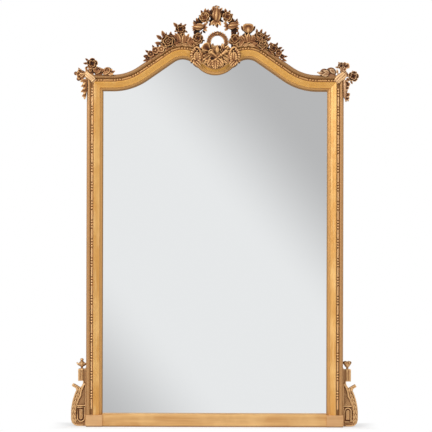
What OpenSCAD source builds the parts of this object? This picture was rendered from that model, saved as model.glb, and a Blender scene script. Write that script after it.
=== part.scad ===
// Overmantel mirror: serpentine gilt frame, carved crest, corner sprays and side brackets.
// The front faces -Y, the wall is the plane Y = 0, and Z rises from the shelf.
// Faces are drawn flat, with x across, y up and z out from the wall, and upright() stands them up.

/* [Opening] */
// Clear width of the glass between the side mouldings
sight_w = 951; // [760:1:1200]
// Height of the opening's flat shoulders above the shelf
shoulder_z = 1423; // [1100:1:1800]
// Height of the bottom rail
rail_h = 54; // [50:1:90]
// Height of the plinth blocks that carry the side mouldings
plinth_h = 50; // [35:1:80]

/* [Serpentine top] */
// Distance of each hump's peak from the centre line
hump_x = 138; // [132:1:150]
// Radius of the hump at the glass
hump_r = 64; // [58:1:68]
// Rise of the hump's peak above the shoulders
hump_rise = 136; // [120:1:150]
// Radius of the dip between the humps at the glass
dip_r = 100; // [90:1:106]
// Drop from the peaks to the bottom of the dip
dip_drop = 67; // [60:1:75]
// Radius of the hollow shoulder curve at the glass
shoulder_r = 260; // [230:1:280]
// Length of the flat run between the shoulder curve and the corner
flat_run = 40.5; // [20:0.5:90]

/* [Moulding] */
// Width of the thin lip beside the glass
lip_w = 5; // [3:0.5:8]
// Width of the cove between the lip and the gilt band
cove_w = 9; // [6:0.5:12]
// Width of the broad gilt band
band_w = 25; // [18:0.5:32]
// Width of the sunk bed that holds the beads
bed_w = 14; // [12:0.5:18]
// Width of the outer torus and its fillet
outer_w = 16; // [14:0.5:22]
// Height of the lip above the back of the moulding
lip_rise = 7; // [5:0.5:9]
// Height of the foot of the gilt band
band_foot = 23; // [20:0.5:26]
// Height of the arris at the outer side of the gilt band
arris_rise = 34; // [30:0.5:38]
// Height of the bead bed
bed_rise = 25; // [22:0.5:27]
// Height of the outer torus
torus_rise = 35; // [32:0.5:38]

/* [Bead and reel] */
// Diameter of a round bead
bead_d = 9.6; // [7:0.1:11]
// Distance between neighbouring beads
bead_pitch = 11.7; // [11.2:0.1:14]
// Beads between two bars
bead_count = 3; // [1:1:5]
// Length of a bar
bar_l = 41; // [25:0.5:60]
// Diameter of a bar
bar_d = 8; // [6:0.1:10]

/* [Back] */
// Thickness of the back frame
back_t = 24; // [22:0.5:32]
// Thickness of the mirror plate
glass_t = 4; // [3:0.5:6]
// How far the mirror plate runs under the moulding
glass_lap = 9; // [5:0.5:9.5]
// Side clearance round the mirror plate
glass_gap = 1; // [0.5:0.1:2]
// Thickness of the backboards
board_t = 10; // [6:0.5:12]
// Width of the ledge that the backboards lie on
ledge_w = 12; // [8:0.5:16]
// Distance that the back frame stays inside the moulding's outer edge
back_inset = 3; // [1:0.5:6]
// Height of the hanging plates' entry holes above the shelf
hang_z = 1180; // [900:1:1350]
// Radius of the entry hole of a hanging plate
key_r = 6; // [5:0.5:8]
// Width of the slot above the entry hole
key_slot = 5; // [4:0.5:6]

/* [Crest] */
// Height of the centre of the wreath's arch above the humps' peaks
arch_rise = 121; // [111:1:141]
// Middle radius of the wreath's arch
arch_r = 78; // [72:1:84]
// Width of the arch board
arch_w = 22; // [16:1:28]
// Height of the crest's top above the humps' peaks
crest_rise = 229; // [221:1:261]
// Middle radius of the pierced ring
ring_r = 36; // [30:1:40]
// Thickness of the pierced ring
ring_d = 16; // [12:1:18]
// Height of the ring's centre above the humps' peaks
ring_rise = 72; // [63:1:81]

/* [Brackets] */
// Reach of a bracket from the side of the frame
bracket_w = 65; // [54:1:80]
// Depth from the wall to a bracket's raised carving
bracket_t = 39; // [30:1:46]
// Height of the bracket's swelling body
bracket_body_h = 158; // [140:1:170]
// Top of the reeded block above the body
block_top = 243; // [232:1:260]
// Width of the reeded block
block_w = 23; // [16:1:28]
// Width of the bud that stands on the block
bud_d = 34; // [24:1:40]
// Height of the bud
bud_h = 45; // [36:1:56]

/* [Hidden] */
$fn = 48;

// Clearance between pieces that are laid on one another's edges
seat = 0.2;
// Cutters run this far past what they cut
past = 1;

// Moulding profile: distances from the glass, and the full width
cove_s = lip_w;
band_s = cove_s + cove_w;
arris_s = band_s + band_w;
torus_s = arris_s + bed_w;
moulding_w = torus_s + outer_w;
bead_s = arris_s + bed_w / 2;
torus_r = (outer_w - 2) / 2;
front_h = back_t + torus_rise;
carve_h = front_h + seat;

// Frame edges
half_sight = sight_w / 2;
frame_x = half_sight + moulding_w;
back_outer = moulding_w - back_inset;
ledge_in = glass_lap + glass_gap;
ledge_out = ledge_in + ledge_w;
corner_x = half_sight + ledge_out;
lap_h = back_t / 2;

// Serpentine: centres of the arcs, and the tilt of the straights that are tangent to two of them
peak_z = shoulder_z + hump_rise;
hump_z = peak_z - hump_r;
arch_z = peak_z + arch_rise;
crest_top = peak_z + crest_rise;
ring_z = peak_z + ring_rise;
dip_z = peak_z - dip_drop + dip_r;
shoulder_x = half_sight - flat_run;
shoulder_cz = shoulder_z + shoulder_r;
inner_d = norm([hump_x, dip_z - hump_z]);
inner_tilt = asin((dip_r + hump_r) / inner_d) - atan2(dip_z - hump_z, hump_x);
inner_l = sqrt(pow(inner_d, 2) - pow(dip_r + hump_r, 2));
outer_d = norm([shoulder_x - hump_x, shoulder_cz - hump_z]);
outer_tilt = asin((shoulder_r + hump_r) / outer_d) - atan2(shoulder_cz - hump_z, shoulder_x - hump_x);
outer_l = sqrt(pow(outer_d, 2) - pow(shoulder_r + hump_r, 2));
// Degrees between the points of an outline's arc
arc_step = 4;

// Points on an arc, from one angle to another
function arc(c, r, a0, a1) =
    let (n = max(2, ceil(abs(a1 - a0) / arc_step)))
    [for (i = [0:n]) let (a = a0 + (a1 - a0) * i / n) c + r * [cos(a), sin(a)]];

// Half of the serpentine line, s outside the glass edge, from the hump's inner tangent to the corner
function outer_half(s, end_x) = concat(
    arc([hump_x, hump_z], hump_r + s, 90 + inner_tilt, 90 - outer_tilt),
    arc([shoulder_x, shoulder_cz], shoulder_r - s, -90 - outer_tilt, -90),
    [[end_x, shoulder_z + s]]
);
// The same half with the dip before it
function full_half(s, end_x) = concat(
    arc([0, dip_z], dip_r - s, -90, -90 + inner_tilt),
    outer_half(s, end_x)
);
function flipped(points) = [for (i = [len(points) - 1:-1:0]) [-points[i][0], points[i][1]]];
function backward(points) = [for (i = [len(points) - 1:-1:0]) points[i]];
// Points carried over to the other side of the centre line, in their own order
function other_side(points, first = 0) = [for (i = [first:len(points) - 1]) [-points[i][0], points[i][1]]];
// Outline of a sheet that fills the opening and runs s past the glass edge
function sheet_outline(s) =
    let (top = full_half(s, half_sight + s))
    concat([[-half_sight - s, rail_h - s], [half_sight + s, rail_h - s]], backward(top), other_side(top, 1));

// Moulding section: x is the distance from the glass, y the height above the back of the moulding
fillet_in = 2;
side_cove_r = 8.75;
side_cove_y = 13;
side_cove_half = 7;
side_cove_a = asin(side_cove_half / side_cove_r);
cove_r = min(cove_w, band_foot - lip_rise - 2 * fillet_in);
inner_section = concat(
    [[0, 0], [0, lip_rise - 1], [lip_w - fillet_in, lip_rise], [lip_w, lip_rise + fillet_in]],
    arc([band_s - cove_r, band_foot - fillet_in], cove_r, -90, 0),
    [for (i = [0:8]) let (t = i / 8)
        [band_s + 1 + (band_w - 2.5) * t, band_foot + (arris_rise - band_foot) * (1 - cos(180 * t)) / 2]],
    [[arris_s, arris_rise - 0.7], [arris_s + 0.5, bed_rise + 1]]
);
outer_section = concat(
    [[arris_s + 1.5, bed_rise], [torus_s - 1, bed_rise], [torus_s, bed_rise + 1]],
    arc([torus_s + torus_r, torus_rise - torus_r], torus_r, 180, 0),
    [[torus_s + 2 * torus_r, bed_rise + fillet_in], [moulding_w, bed_rise + fillet_in]],
    arc([moulding_w + side_cove_r * cos(side_cove_a), side_cove_y], side_cove_r,
        180 - side_cove_a, 180 + side_cove_a),
    [[moulding_w, 0]]
);
full_section = concat(inner_section, outer_section);
inner_only_section = concat(inner_section, [[arris_s + 1, bed_rise], [arris_s + 1, 0]]);

module upright() {
    rotate([90, 0, 0]) children();
}

module mirrored(side) {
    if (side < 0) mirror([1, 0, 0]) children();
    else children();
}

// A straight length of a section, running along +x with its outer side towards +y
module straight_rail(section, l) {
    rotate([90, 0, 90]) linear_extrude(l) polygon(section);
}

// A curved length of a section: out = 1 where the curve's centre lies on the glass side
module curved_rail(section, r, out, from, sweep) {
    rotate([0, 0, from]) rotate_extrude(angle = sweep, $fn = 180)
        polygon([for (p = section) [r + out * p[0], p[1]]]);
}

// Everything on one side of the corner's mitre
module mitre_side(above) {
    reach = 3 * moulding_w;
    translate([half_sight, shoulder_z, 0]) rotate([0, 0, 45])
        translate([-reach / 2, above ? 0 : -reach, 0]) cube([2 * reach, reach, 3 * back_t]);
}

// ---- Gilt mouldings ----

module stile_moulding(side) {
    color("goldenrod") mirrored(side) upright() translate([0, 0, back_t]) difference() {
        translate([half_sight, plinth_h, 0]) mirror([1, 0, 0]) rotate([0, 0, 90])
            straight_rail(full_section, shoulder_z + moulding_w - plinth_h);
        translate([0, 0, -past]) mitre_side(true);
    }
}

module corner_rail(side) {
    color("goldenrod") mirrored(side) upright() translate([0, 0, back_t]) difference() {
        translate([shoulder_x, shoulder_z, 0]) straight_rail(full_section, flat_run + moulding_w);
        translate([0, 0, -past]) mitre_side(false);
    }
}

module shoulder_rail(side) {
    color("goldenrod") mirrored(side) upright() translate([shoulder_x, shoulder_cz, back_t])
        curved_rail(full_section, shoulder_r, -1, -90 - outer_tilt, outer_tilt);
}

module slope_rail(side) {
    color("goldenrod") mirrored(side) upright()
        translate([hump_x + hump_r * sin(outer_tilt), hump_z + hump_r * cos(outer_tilt), back_t])
            rotate([0, 0, -outer_tilt]) straight_rail(full_section, outer_l);
}

module hump_rail(side) {
    color("goldenrod") mirrored(side) upright() translate([hump_x, hump_z, back_t])
        curved_rail(full_section, hump_r, 1, 90 - outer_tilt, outer_tilt + inner_tilt);
}

// The rails beside the dip keep only the inner members, as the cartouche stands on the rest
module inner_rail(side) {
    color("goldenrod") mirrored(side) upright()
        translate([dip_r * sin(inner_tilt), dip_z - dip_r * cos(inner_tilt), back_t])
            rotate([0, 0, inner_tilt]) straight_rail(inner_only_section, inner_l);
}

module dip_rail() {
    color("goldenrod") upright() translate([0, dip_z, back_t])
        curved_rail(inner_only_section, dip_r, -1, -90 - inner_tilt, 2 * inner_tilt);
}

rail_rise = 31;
chamfer = 5;
module bottom_rail() {
    color("tan") translate([-half_sight, -back_t, 0]) rotate([90, 0, 90]) linear_extrude(sight_w)
        mirror([1, 0]) polygon([[0, 0], [rail_rise, 0], [rail_rise, rail_h - chamfer],
            [rail_rise - chamfer, rail_h], [0, rail_h]]);
}

plinth_rise = 37;
module plinth(side) {
    color("burlywood") mirrored(side) translate([half_sight, -back_t, 0]) rotate([90, 0, 0])
        linear_extrude(plinth_rise) square([moulding_w, plinth_h]);
}

// ---- Bead and reel ----

bar_slot = bar_l + 2 * (bead_pitch - bead_d);
bead_period = bar_slot + bead_count * bead_pitch;
bead_bed_h = back_t + bed_rise;

module half_bead() {
    difference() {
        sphere(d = bead_d);
        translate([-bead_d, -bead_d, -2 * bead_d]) cube(2 * bead_d);
    }
}

// A long bar with round shoulders, split along its axis
module half_bar() {
    neck = bar_d / 4;
    rotate([90, 0, 0]) rotate([0, 90, 0]) rotate_extrude(angle = 180) polygon(concat(
        [[0, -bar_l / 2]],
        arc([bar_d / 2 - neck, -bar_l / 2 + neck], neck, -90, 0),
        arc([bar_d / 2 - neck, bar_l / 2 - neck], neck, 0, 90),
        [[0, bar_l / 2]]));
}

// Lengths of the stretches of a line that runs s outside the glass, from the cartouche to the corner
function hump_l(s) = (hump_r + s) * (inner_tilt + outer_tilt) * PI / 180;
function shoulder_l(s) = (shoulder_r - s) * outer_tilt * PI / 180;
function top_l(s) = hump_l(s) + outer_l + shoulder_l(s) + flat_run + s;
// Place and tilt at a distance t along that line
function rail_place(s, t) =
    let (t1 = hump_l(s), t2 = t1 + outer_l, t3 = t2 + shoulder_l(s))
    t < t1 ?
        let (a = -inner_tilt + t / (hump_r + s) * 180 / PI)
        [hump_x + (hump_r + s) * sin(a), hump_z + (hump_r + s) * cos(a), -a] :
    t < t2 ?
        let (u = t - t1)
        [hump_x + (hump_r + s) * sin(outer_tilt) + u * cos(outer_tilt),
         hump_z + (hump_r + s) * cos(outer_tilt) - u * sin(outer_tilt), -outer_tilt] :
    t < t3 ?
        let (a = outer_tilt - (t - t2) / (shoulder_r - s) * 180 / PI)
        [shoulder_x - (shoulder_r - s) * sin(a), shoulder_cz - (shoulder_r - s) * cos(a), -a] :
        [shoulder_x + t - t3, shoulder_z + s, 0];

// Offsets of the pieces of one period from its start: the bar, then the beads
function bead_offset(i) = i == 0 ? bar_slot / 2 : bar_slot + (i - 0.5) * bead_pitch;

module stile_beads(side) {
    run = shoulder_z + bead_s - plinth_h - bead_d;
    periods = floor(run / bead_period);
    spare = run - periods * bead_period;
    color("goldenrod") mirrored(side) upright()
        for (k = [0:periods - 1], i = [0:bead_count])
            let (t = spare / 2 + k * bead_period + bead_offset(i))
            translate([half_sight + bead_s, plinth_h + t, bead_bed_h]) rotate([0, 0, 90]) bead_piece(i);
}

module top_beads(side) {
    run = top_l(bead_s) - bead_d;
    periods = floor(run / bead_period);
    spare = run - periods * bead_period;
    color("goldenrod") mirrored(side) upright()
        for (k = [0:periods - 1], i = [0:bead_count])
            let (p = rail_place(bead_s, spare + k * bead_period + bead_offset(i)))
            translate([p[0], p[1], bead_bed_h]) rotate([0, 0, p[2]]) bead_piece(i);
}

module bead_piece(i) {
    if (i == 0) half_bar();
    else half_bead();
}

// ---- Glass and back ----

module mirror_plate() {
    color("lightsteelblue") upright() translate([0, 0, back_t - glass_t])
        linear_extrude(glass_t) polygon(sheet_outline(glass_lap));
}

block_l = 40;
block_side = back_t - glass_t - board_t;
block_rows = 4;
module glazing_blocks() {
    color("sienna") upright() {
        for (side = [-1, 1], i = [0:block_rows - 1])
            let (z = rail_h + (shoulder_z - rail_h) * (i + 0.5) / block_rows)
            translate([side * (half_sight + ledge_in - block_side / 2), z, board_t + block_side / 2])
                cube([block_side, block_l, block_side], center = true);
        for (i = [0:block_rows - 1])
            let (x = sight_w * ((i + 0.5) / block_rows - 0.5))
            translate([x, rail_h - ledge_in + block_side / 2, board_t + block_side / 2])
                cube([block_l, block_side, block_side], center = true);
    }
}

// A countersunk wood screw with its head's face at z = 0 and its shank towards +z
screw_head_d = 8;
screw_head_h = 2.6;
screw_d = 4;
module wood_screw(l, gap) {
    rotate_extrude() polygon([[0, 0], [screw_head_d / 2 + gap, 0], [screw_d / 2 + gap, screw_head_h + gap],
        [screw_d / 2 + gap, l - screw_d + gap], [0, l + gap]]);
}

// Backboard screws: up both sides and along the bottom, in the ledge
board_screw_l = 19;
board_screw_rows = 5;
board_screw_s = ledge_in + ledge_w / 2;
board_screw_cols = 6;
module board_screw_places() {
    for (side = [-1, 1], i = [0:board_screw_rows - 1])
        translate([side * (half_sight + board_screw_s),
            rail_h + (shoulder_z - rail_h) * (i + 0.5) / board_screw_rows, 0]) children();
    for (i = [0:board_screw_cols - 1])
        translate([sight_w * ((i + 0.5) / board_screw_cols - 0.5), rail_h - board_screw_s, 0]) children();
}

// Screw holes go through the boards and on into the ledge
hole_gap = 0.15;
module board_screw_holes() {
    board_screw_places() translate([0, 0, -hole_gap]) wood_screw(board_screw_l, hole_gap);
}

module backboard_screws() {
    color("dimgray") upright() board_screw_places() wood_screw(board_screw_l, 0);
}

// One of three upright boards
board_gap = 0.5;
module backboard(k) {
    w = (2 * (half_sight + ledge_out - glass_gap / 2)) / 3;
    color("peru") upright() difference() {
        intersection() {
            linear_extrude(board_t) polygon(sheet_outline(ledge_out - glass_gap / 2));
            translate([(k - 0.5) * w + board_gap / 2, 0, -past])
                cube([w - board_gap, 2 * shoulder_z, board_t + 2 * past]);
        }
        board_screw_holes();
    }
}

// Keyhole hanging plate, let in flush with the back of the stile
plate_w = 36;
plate_h = 70;
plate_t = 2.5;
plate_x = half_sight + (ledge_out + back_outer) / 2;
key_travel = 16;
// Depth behind the plate for the head of the wall screw
key_room = 9;
plate_mid = hang_z + key_travel / 2;
plate_screw_l = 13;
module plate_screw_places() {
    for (u = [-1, 1], v = [-1, 1])
        translate([plate_x + u * (plate_w / 2 - 6), plate_mid + v * (plate_h / 2 - 7), 0]) children();
}

module hanging_plate(side) {
    color("darkgray") mirrored(side) upright() difference() {
        translate([plate_x - plate_w / 2, plate_mid - plate_h / 2, 0]) cube([plate_w, plate_h, plate_t]);
        translate([plate_x, hang_z, -past]) cylinder(r = key_r, h = plate_t + 2 * past);
        translate([plate_x - key_slot / 2, hang_z, -past]) cube([key_slot, key_travel, plate_t + 2 * past]);
        translate([plate_x, hang_z + key_travel, -past]) cylinder(d = key_slot, h = plate_t + 2 * past);
        plate_screw_places() translate([0, 0, -hole_gap]) wood_screw(plate_screw_l, hole_gap);
    }
}

module hanging_plate_screws() {
    color("dimgray") upright() {
        plate_screw_places() wood_screw(plate_screw_l, 0);
        mirror([1, 0, 0]) plate_screw_places() wood_screw(plate_screw_l, 0);
    }
}

// What the hanging plate, its screws and the head of the wall screw take out of the stile
module plate_recess() {
    translate([plate_x - plate_w / 2 - seat, plate_mid - plate_h / 2 - seat, -past])
        cube([plate_w + 2 * seat, plate_h + 2 * seat, plate_t + past]);
    translate([plate_x - key_r - 1, hang_z - key_r - 1, 0]) cube([2 * key_r + 2, key_travel + 2 * key_r + 2,
        plate_t + key_room]);
    plate_screw_places() translate([0, 0, -hole_gap]) wood_screw(plate_screw_l, hole_gap);
}

module back_stile(side) {
    color("saddlebrown") mirrored(side) upright() difference() {
        union() {
            translate([corner_x, 0, 0]) cube([back_outer - ledge_out, shoulder_z + back_outer, back_t]);
            translate([half_sight + ledge_in, rail_h - ledge_in, board_t])
                cube([ledge_w, shoulder_z - rail_h + 2 * ledge_in, back_t - board_t]);
        }
        translate([corner_x - past, -past, lap_h])
            cube([back_outer, rail_h - ledge_in + past, back_t]);
        translate([corner_x, shoulder_z + ledge_out, lap_h])
            cube([back_outer, back_outer, back_t]);
        plate_recess();
        board_screw_holes();
    }
}

module back_bottom_rail() {
    color("saddlebrown") upright() difference() {
        union() {
            translate([-corner_x, 0, 0]) cube([2 * corner_x, rail_h - ledge_out, back_t]);
            translate([-corner_x, rail_h - ledge_out - past, board_t])
                cube([2 * corner_x, ledge_w + past, back_t - board_t]);
            translate([-half_sight - back_outer, 0, lap_h])
                cube([2 * (half_sight + back_outer), rail_h - ledge_in, back_t - lap_h]);
        }
        board_screw_holes();
    }
}

// Tenons of the crest's arch, and the sockets that take them
tenon_t = 12;
tenon_l = 26;
tenon_w = arch_w - 6;
arch_back = 4;
arch_t = 40;
module arch_tenon(gap) {
    for (side = [-1, 1])
        translate([side * arch_r - tenon_w / 2 - gap, tenon_z - tenon_l - gap, arch_back + 4 - gap])
            cube([tenon_w + 2 * gap, tenon_l + 40, tenon_t + 2 * gap]);
}
tenon_z = hump_z + sqrt(pow(hump_r + back_outer, 2) - pow(hump_x - arch_r, 2));

module back_top_rail() {
    inner = full_half(ledge_out, corner_x);
    lip = full_half(ledge_in, corner_x);
    outer = outer_half(back_outer, corner_x);
    color("saddlebrown") upright() difference() {
        union() {
            linear_extrude(back_t)
                polygon(concat(flipped(inner), inner, backward(outer), other_side(outer)));
            translate([0, 0, board_t]) linear_extrude(back_t - board_t)
                polygon(concat(flipped(lip), lip, backward(outer), other_side(outer)));
            for (side = [0, 1]) mirror([side, 0, 0])
                translate([corner_x - past, shoulder_z + ledge_out, lap_h])
                    cube([back_outer - ledge_out + past, back_outer - ledge_out, back_t - lap_h]);
        }
        arch_tenon(seat);
    }
}

// ---- Brackets ----
// Drawn with x as the distance out from the frame's side, and y as the height above the shelf.

bracket_back = 3;
// Height of the raised carving above the bracket's ground
relief = 5;
ground_t = bracket_t - relief;
// The reeded block stands this far out from the frame, with a plain web behind it
block_x = 12;
block_h = 50;
// Round notch between the body and the block
notch_r = 17;
notch_z = bracket_body_h + 28;
// The body's outer side swells on a large arc above a round foot
swell_r = 3.45 * bracket_w;
swell_z = 55;
foot_r = 28;
function swell_u(r_in, z) = bracket_w - swell_r + sqrt(pow(swell_r - r_in, 2) - pow(z - swell_z, 2));

// Outer side of the body, from the foot up to the nib, a distance in from the true outline
function bracket_edge(in) = concat(
    arc([bracket_w - foot_r, foot_r + 1], foot_r - in, -90, 0),
    [for (z = [swell_z:13:bracket_body_h]) [swell_u(in, z), z]]
);
function bracket_outline() = concat(
    [[0, 1]], bracket_edge(0), [[block_x + notch_r - 4, bracket_body_h + 5]],
    arc([block_x + notch_r, notch_z], notch_r, -110, -180),
    [[block_x, block_top], [4, block_top + 2], [0, block_top + 12]]
);

// Inner side of the leaf that climbs from the foot to the notch
function leaf_line() = [
    [bracket_w - 22, 14], [bracket_w - 19, 34], [bracket_w - 19, 60], [bracket_w - 23, 84],
    [bracket_w - 28, 102], [bracket_w - 34, 120], [bracket_w - 39, 138], [bracket_w - 43, bracket_body_h],
    [block_x + 4, notch_z - 12], [block_x - 1, notch_z - 1]];

// Panel with one round end: at its foot on the left bracket, at its head on the right one
panel_x = 5.5;
panel_w = 33;
panel_z = 20;
panel_h = 62;
// Width of the roll round the panel, and how far in the raised tablet starts
roll_w = 4.5;
tablet_in = 9.5;
module round_panel(side, inset) {
    r = panel_w / 2;
    translate([panel_x + r, panel_z + (side < 0 ? r : panel_h - r)]) circle(r = r - inset);
    translate([panel_x + inset, panel_z + (side < 0 ? r : inset)])
        square([panel_w - 2 * inset, panel_h - r - inset]);
}

// Short scrolled bar that points up and out from the top of the body
nib_r = 6.5;
nib_l = 32;
nib_tilt = 34;
module nib() {
    translate([bracket_w - 39, bracket_body_h + 3, bracket_back]) rotate([0, 0, nib_tilt]) {
        translate([0, -nib_r, 0]) cube([nib_l, 2 * nib_r, ground_t]);
        translate([nib_l, 0, 0]) cylinder(r = nib_r, h = ground_t + 2);
    }
}

reed_gap = 2.4;
module reeded_block() {
    reed_pitch = (block_w + reed_gap) / 3;
    translate([block_x, block_top - block_h, bracket_back]) difference() {
        cube([block_w, block_h, bracket_t - bracket_back]);
        for (i = [1, 2]) translate([i * reed_pitch - reed_gap, 5, ground_t - bracket_back])
            cube([reed_gap, block_h - 10, relief + past]);
    }
}

module bracket(side) {
    color("peru") mirrored(side) upright() translate([frame_x, 0, 0]) {
        translate([0, 0, bracket_back]) linear_extrude(ground_t - bracket_back) polygon(bracket_outline());
        translate([0, 0, ground_t - past]) linear_extrude(relief + past)
            polygon(concat(bracket_edge(0), backward(leaf_line())));
        translate([0, 0, ground_t - past]) linear_extrude(relief + past) difference() {
            round_panel(side, 0);
            round_panel(side, roll_w);
        }
        translate([0, 0, ground_t - past]) linear_extrude(relief + past) round_panel(side, tablet_in);
        translate([1, panel_z + panel_h + 3, ground_t - past]) cube([bracket_w - 26, 5, relief + past]);
        nib();
        reeded_block();
    }
}

// A turned bud on the block: the left one closes in a knob, the right one opens as a tulip
module bracket_bud(side) {
    foot = [[0, 0], [block_w * 0.36, 0], [block_w * 0.36, 2.5], [4, 5], [4.5, bud_h * 0.2]];
    belly = arc([bud_d / 2 - 4, bud_h * 0.5], 4, -60, 60);
    closed_top = [[6, bud_h * 0.78], [3.5, bud_h * 0.82], [5.5, bud_h * 0.9], [5, bud_h * 0.95], [0, bud_h]];
    lip = arc([bud_d / 2 - 3, bud_h * 0.66], 3, -50, 110);
    open_top = [[bud_d * 0.3, bud_h * 0.62], [4, bud_h * 0.66], [2.5, bud_h * 0.74], [0, bud_h * 0.76]];
    color("peru") mirrored(side)
        translate([frame_x + block_x + block_w / 2 - 4, -(bracket_t + bracket_back) / 2, block_top])
            rotate_extrude() polygon(concat(foot, side < 0 ? belly : lip, side < 0 ? closed_top : open_top));
}

// ---- Carving ----
// All of it is planted on the mouldings' crowns, or on the arch board behind the crest.

// A leaf along +x with a raised midrib
function leaf_edge(l, w) = [for (i = [0:5]) let (u = i / 5) [l * u, w / 2 * sin(180 * pow(u, 0.75))]];
module leaf(l, w, t) {
    edge = leaf_edge(l, w);
    hull() {
        linear_extrude(t * 0.35) polygon(concat(edge, [for (i = [4:-1:1]) [edge[i][0], -edge[i][1]]]));
        translate([l * 0.08, -w / 16, t * 0.9]) cube([l * 0.7, w / 8, t * 0.1]);
    }
}

// One petal reaching along +x, tilted up towards its tip
module petal(reach, w, h, tilt) {
    hull() {
        cylinder(d = w * 0.5, h = h * 0.4, $fn = 6);
        translate([reach - w / 2, 0, h * 0.4]) rotate([0, -tilt, 0]) cylinder(d = w, h = h * 0.25, $fn = 8);
    }
}

// A full-blown rose: two rings of petals round a bud, on a round ground
inner_turn = 31;
module rose(d, h) {
    cylinder(d = d * 0.6, h = h * 0.35, $fn = 10);
    for (k = [0:4]) rotate([0, 0, 72 * k]) petal(d / 2, d * 0.46, h * 0.6, 22);
    for (k = [0:4]) rotate([0, 0, 72 * k + inner_turn]) petal(d * 0.31, d * 0.28, h * 0.85, 35);
    cylinder(d1 = d * 0.26, d2 = d * 0.16, h = h, $fn = 8);
}

// A small open flower
module blossom(d, h) {
    cylinder(d = d * 0.6, h = h * 0.35, $fn = 8);
    for (k = [0:4]) rotate([0, 0, 72 * k]) petal(d / 2, d * 0.44, h * 0.7, 25);
    cylinder(d1 = d * 0.3, d2 = d * 0.15, h = h, $fn = 8);
}

// A stem between two places
module stem(from, to, w) {
    hull() {
        translate(from) cylinder(d1 = w, d2 = w * 0.6, h = w * 0.6, $fn = 8);
        translate(to) cylinder(d1 = w, d2 = w * 0.6, h = w * 0.6, $fn = 8);
    }
}

module at(x, z, turn = 0) {
    translate([x, z, 0]) rotate([0, 0, turn]) children();
}

// Three reeds of ribbon wrapped over the mitre, along it
reed_d = 11;
reed_l = 44;
ribbon_s = moulding_w * 0.8;
module corner_ribbon(side) {
    color("darkgoldenrod") mirrored(side) upright()
        translate([half_sight + ribbon_s, shoulder_z + ribbon_s, carve_h]) rotate([0, 0, 45])
            for (i = [-1:1]) translate([-reed_l / 2, i * reed_d, 0])
                rotate([90, 0, 90]) linear_extrude(reed_l) polygon(arc([0, 0], reed_d / 2, 0, 180));
}

// The crown of the outer torus, where the sprays' stems lie
crown_x = half_sight + torus_s + torus_r + 2;
crown_z = shoulder_z + torus_s + torus_r + 2;
stem_w = 12;
module left_corner_spray() {
    color("darkgoldenrod") mirrored(-1) upright() translate([0, 0, carve_h]) {
        stem([crown_x - 34, crown_z + 2], [crown_x - 98, crown_z + 2], stem_w);
        stem([crown_x - 34, crown_z + 2], [crown_x - 20, crown_z + 38], stem_w);
        at(crown_x - 14, crown_z + 50, 10) rose(54, 24);
        at(crown_x - 34, crown_z + 12, 150) leaf(44, 26, 14);
        at(crown_x - 54, crown_z + 10, 100) leaf(32, 20, 14);
        at(crown_x - 60, crown_z + 22) blossom(26, 16);
        at(crown_x - 74, crown_z + 12, 130) leaf(30, 18, 12);
        at(crown_x - 84, crown_z + 20) blossom(24, 14);
        at(crown_x - 90, crown_z + 12, 165) leaf(26, 14, 12);
        stem([crown_x + 4, crown_z - 28], [crown_x + 6, crown_z - 84], stem_w);
        stem([crown_x + 4, crown_z - 28], [crown_x + 30, crown_z - 8], stem_w);
        at(crown_x + 44, crown_z + 2) blossom(42, 20);
        for (k = [0:3]) at(crown_x + 5, crown_z - 32 - 15 * k, -52 - 6 * k) leaf(38 - 3 * k, 18, 13);
    }
}

module right_corner_spray() {
    color("darkgoldenrod") upright() translate([0, 0, carve_h]) {
        stem([crown_x - 34, crown_z + 2], [crown_x - 92, crown_z + 2], stem_w);
        stem([crown_x - 34, crown_z + 2], [crown_x - 10, crown_z + 34], stem_w);
        at(crown_x + 4, crown_z + 46) rose(40, 22);
        at(crown_x - 34, crown_z + 10, 140) leaf(42, 26, 14);
        at(crown_x - 50, crown_z + 10, 110) leaf(30, 22, 14);
        at(crown_x - 62, crown_z + 10, 150) leaf(36, 18, 14);
        at(crown_x - 80, crown_z + 10, 172) leaf(30, 16, 12);
        stem([crown_x + 4, crown_z - 28], [crown_x + 10, crown_z - 84], stem_w);
        stem([crown_x + 4, crown_z - 28], [crown_x + 30, crown_z - 10], stem_w);
        at(crown_x + 46, crown_z) rose(48, 24);
        for (k = [0:3]) at(crown_x + 5, crown_z - 30 - 17 * k, -56 - 6 * k) leaf(42 - 3 * k, 20, 13);
    }
}

// Ground block of the cartouche: fills the valley between the humps above the dip's moulding
ground_top = arch_z - 68;
ground_in = arris_s + 1 + seat;
ground_shoulder = 8;
module cartouche_ground() {
    normal = [-sin(inner_tilt), cos(inner_tilt)];
    along = [cos(inner_tilt), sin(inner_tilt)];
    tangent = [hump_x, hump_z] + hump_r * normal - seat * along;
    side_high = tangent + moulding_w * normal;
    right = concat(arc([0, dip_z], dip_r - ground_in, -90, -90 + inner_tilt),
        [tangent + ground_in * normal, side_high, [side_high[0] - ground_shoulder, ground_top]]);
    color("darkgoldenrod") upright() translate([0, 0, back_t]) linear_extrude(torus_rise)
        polygon(concat(right, flipped(right)));
}

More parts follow.
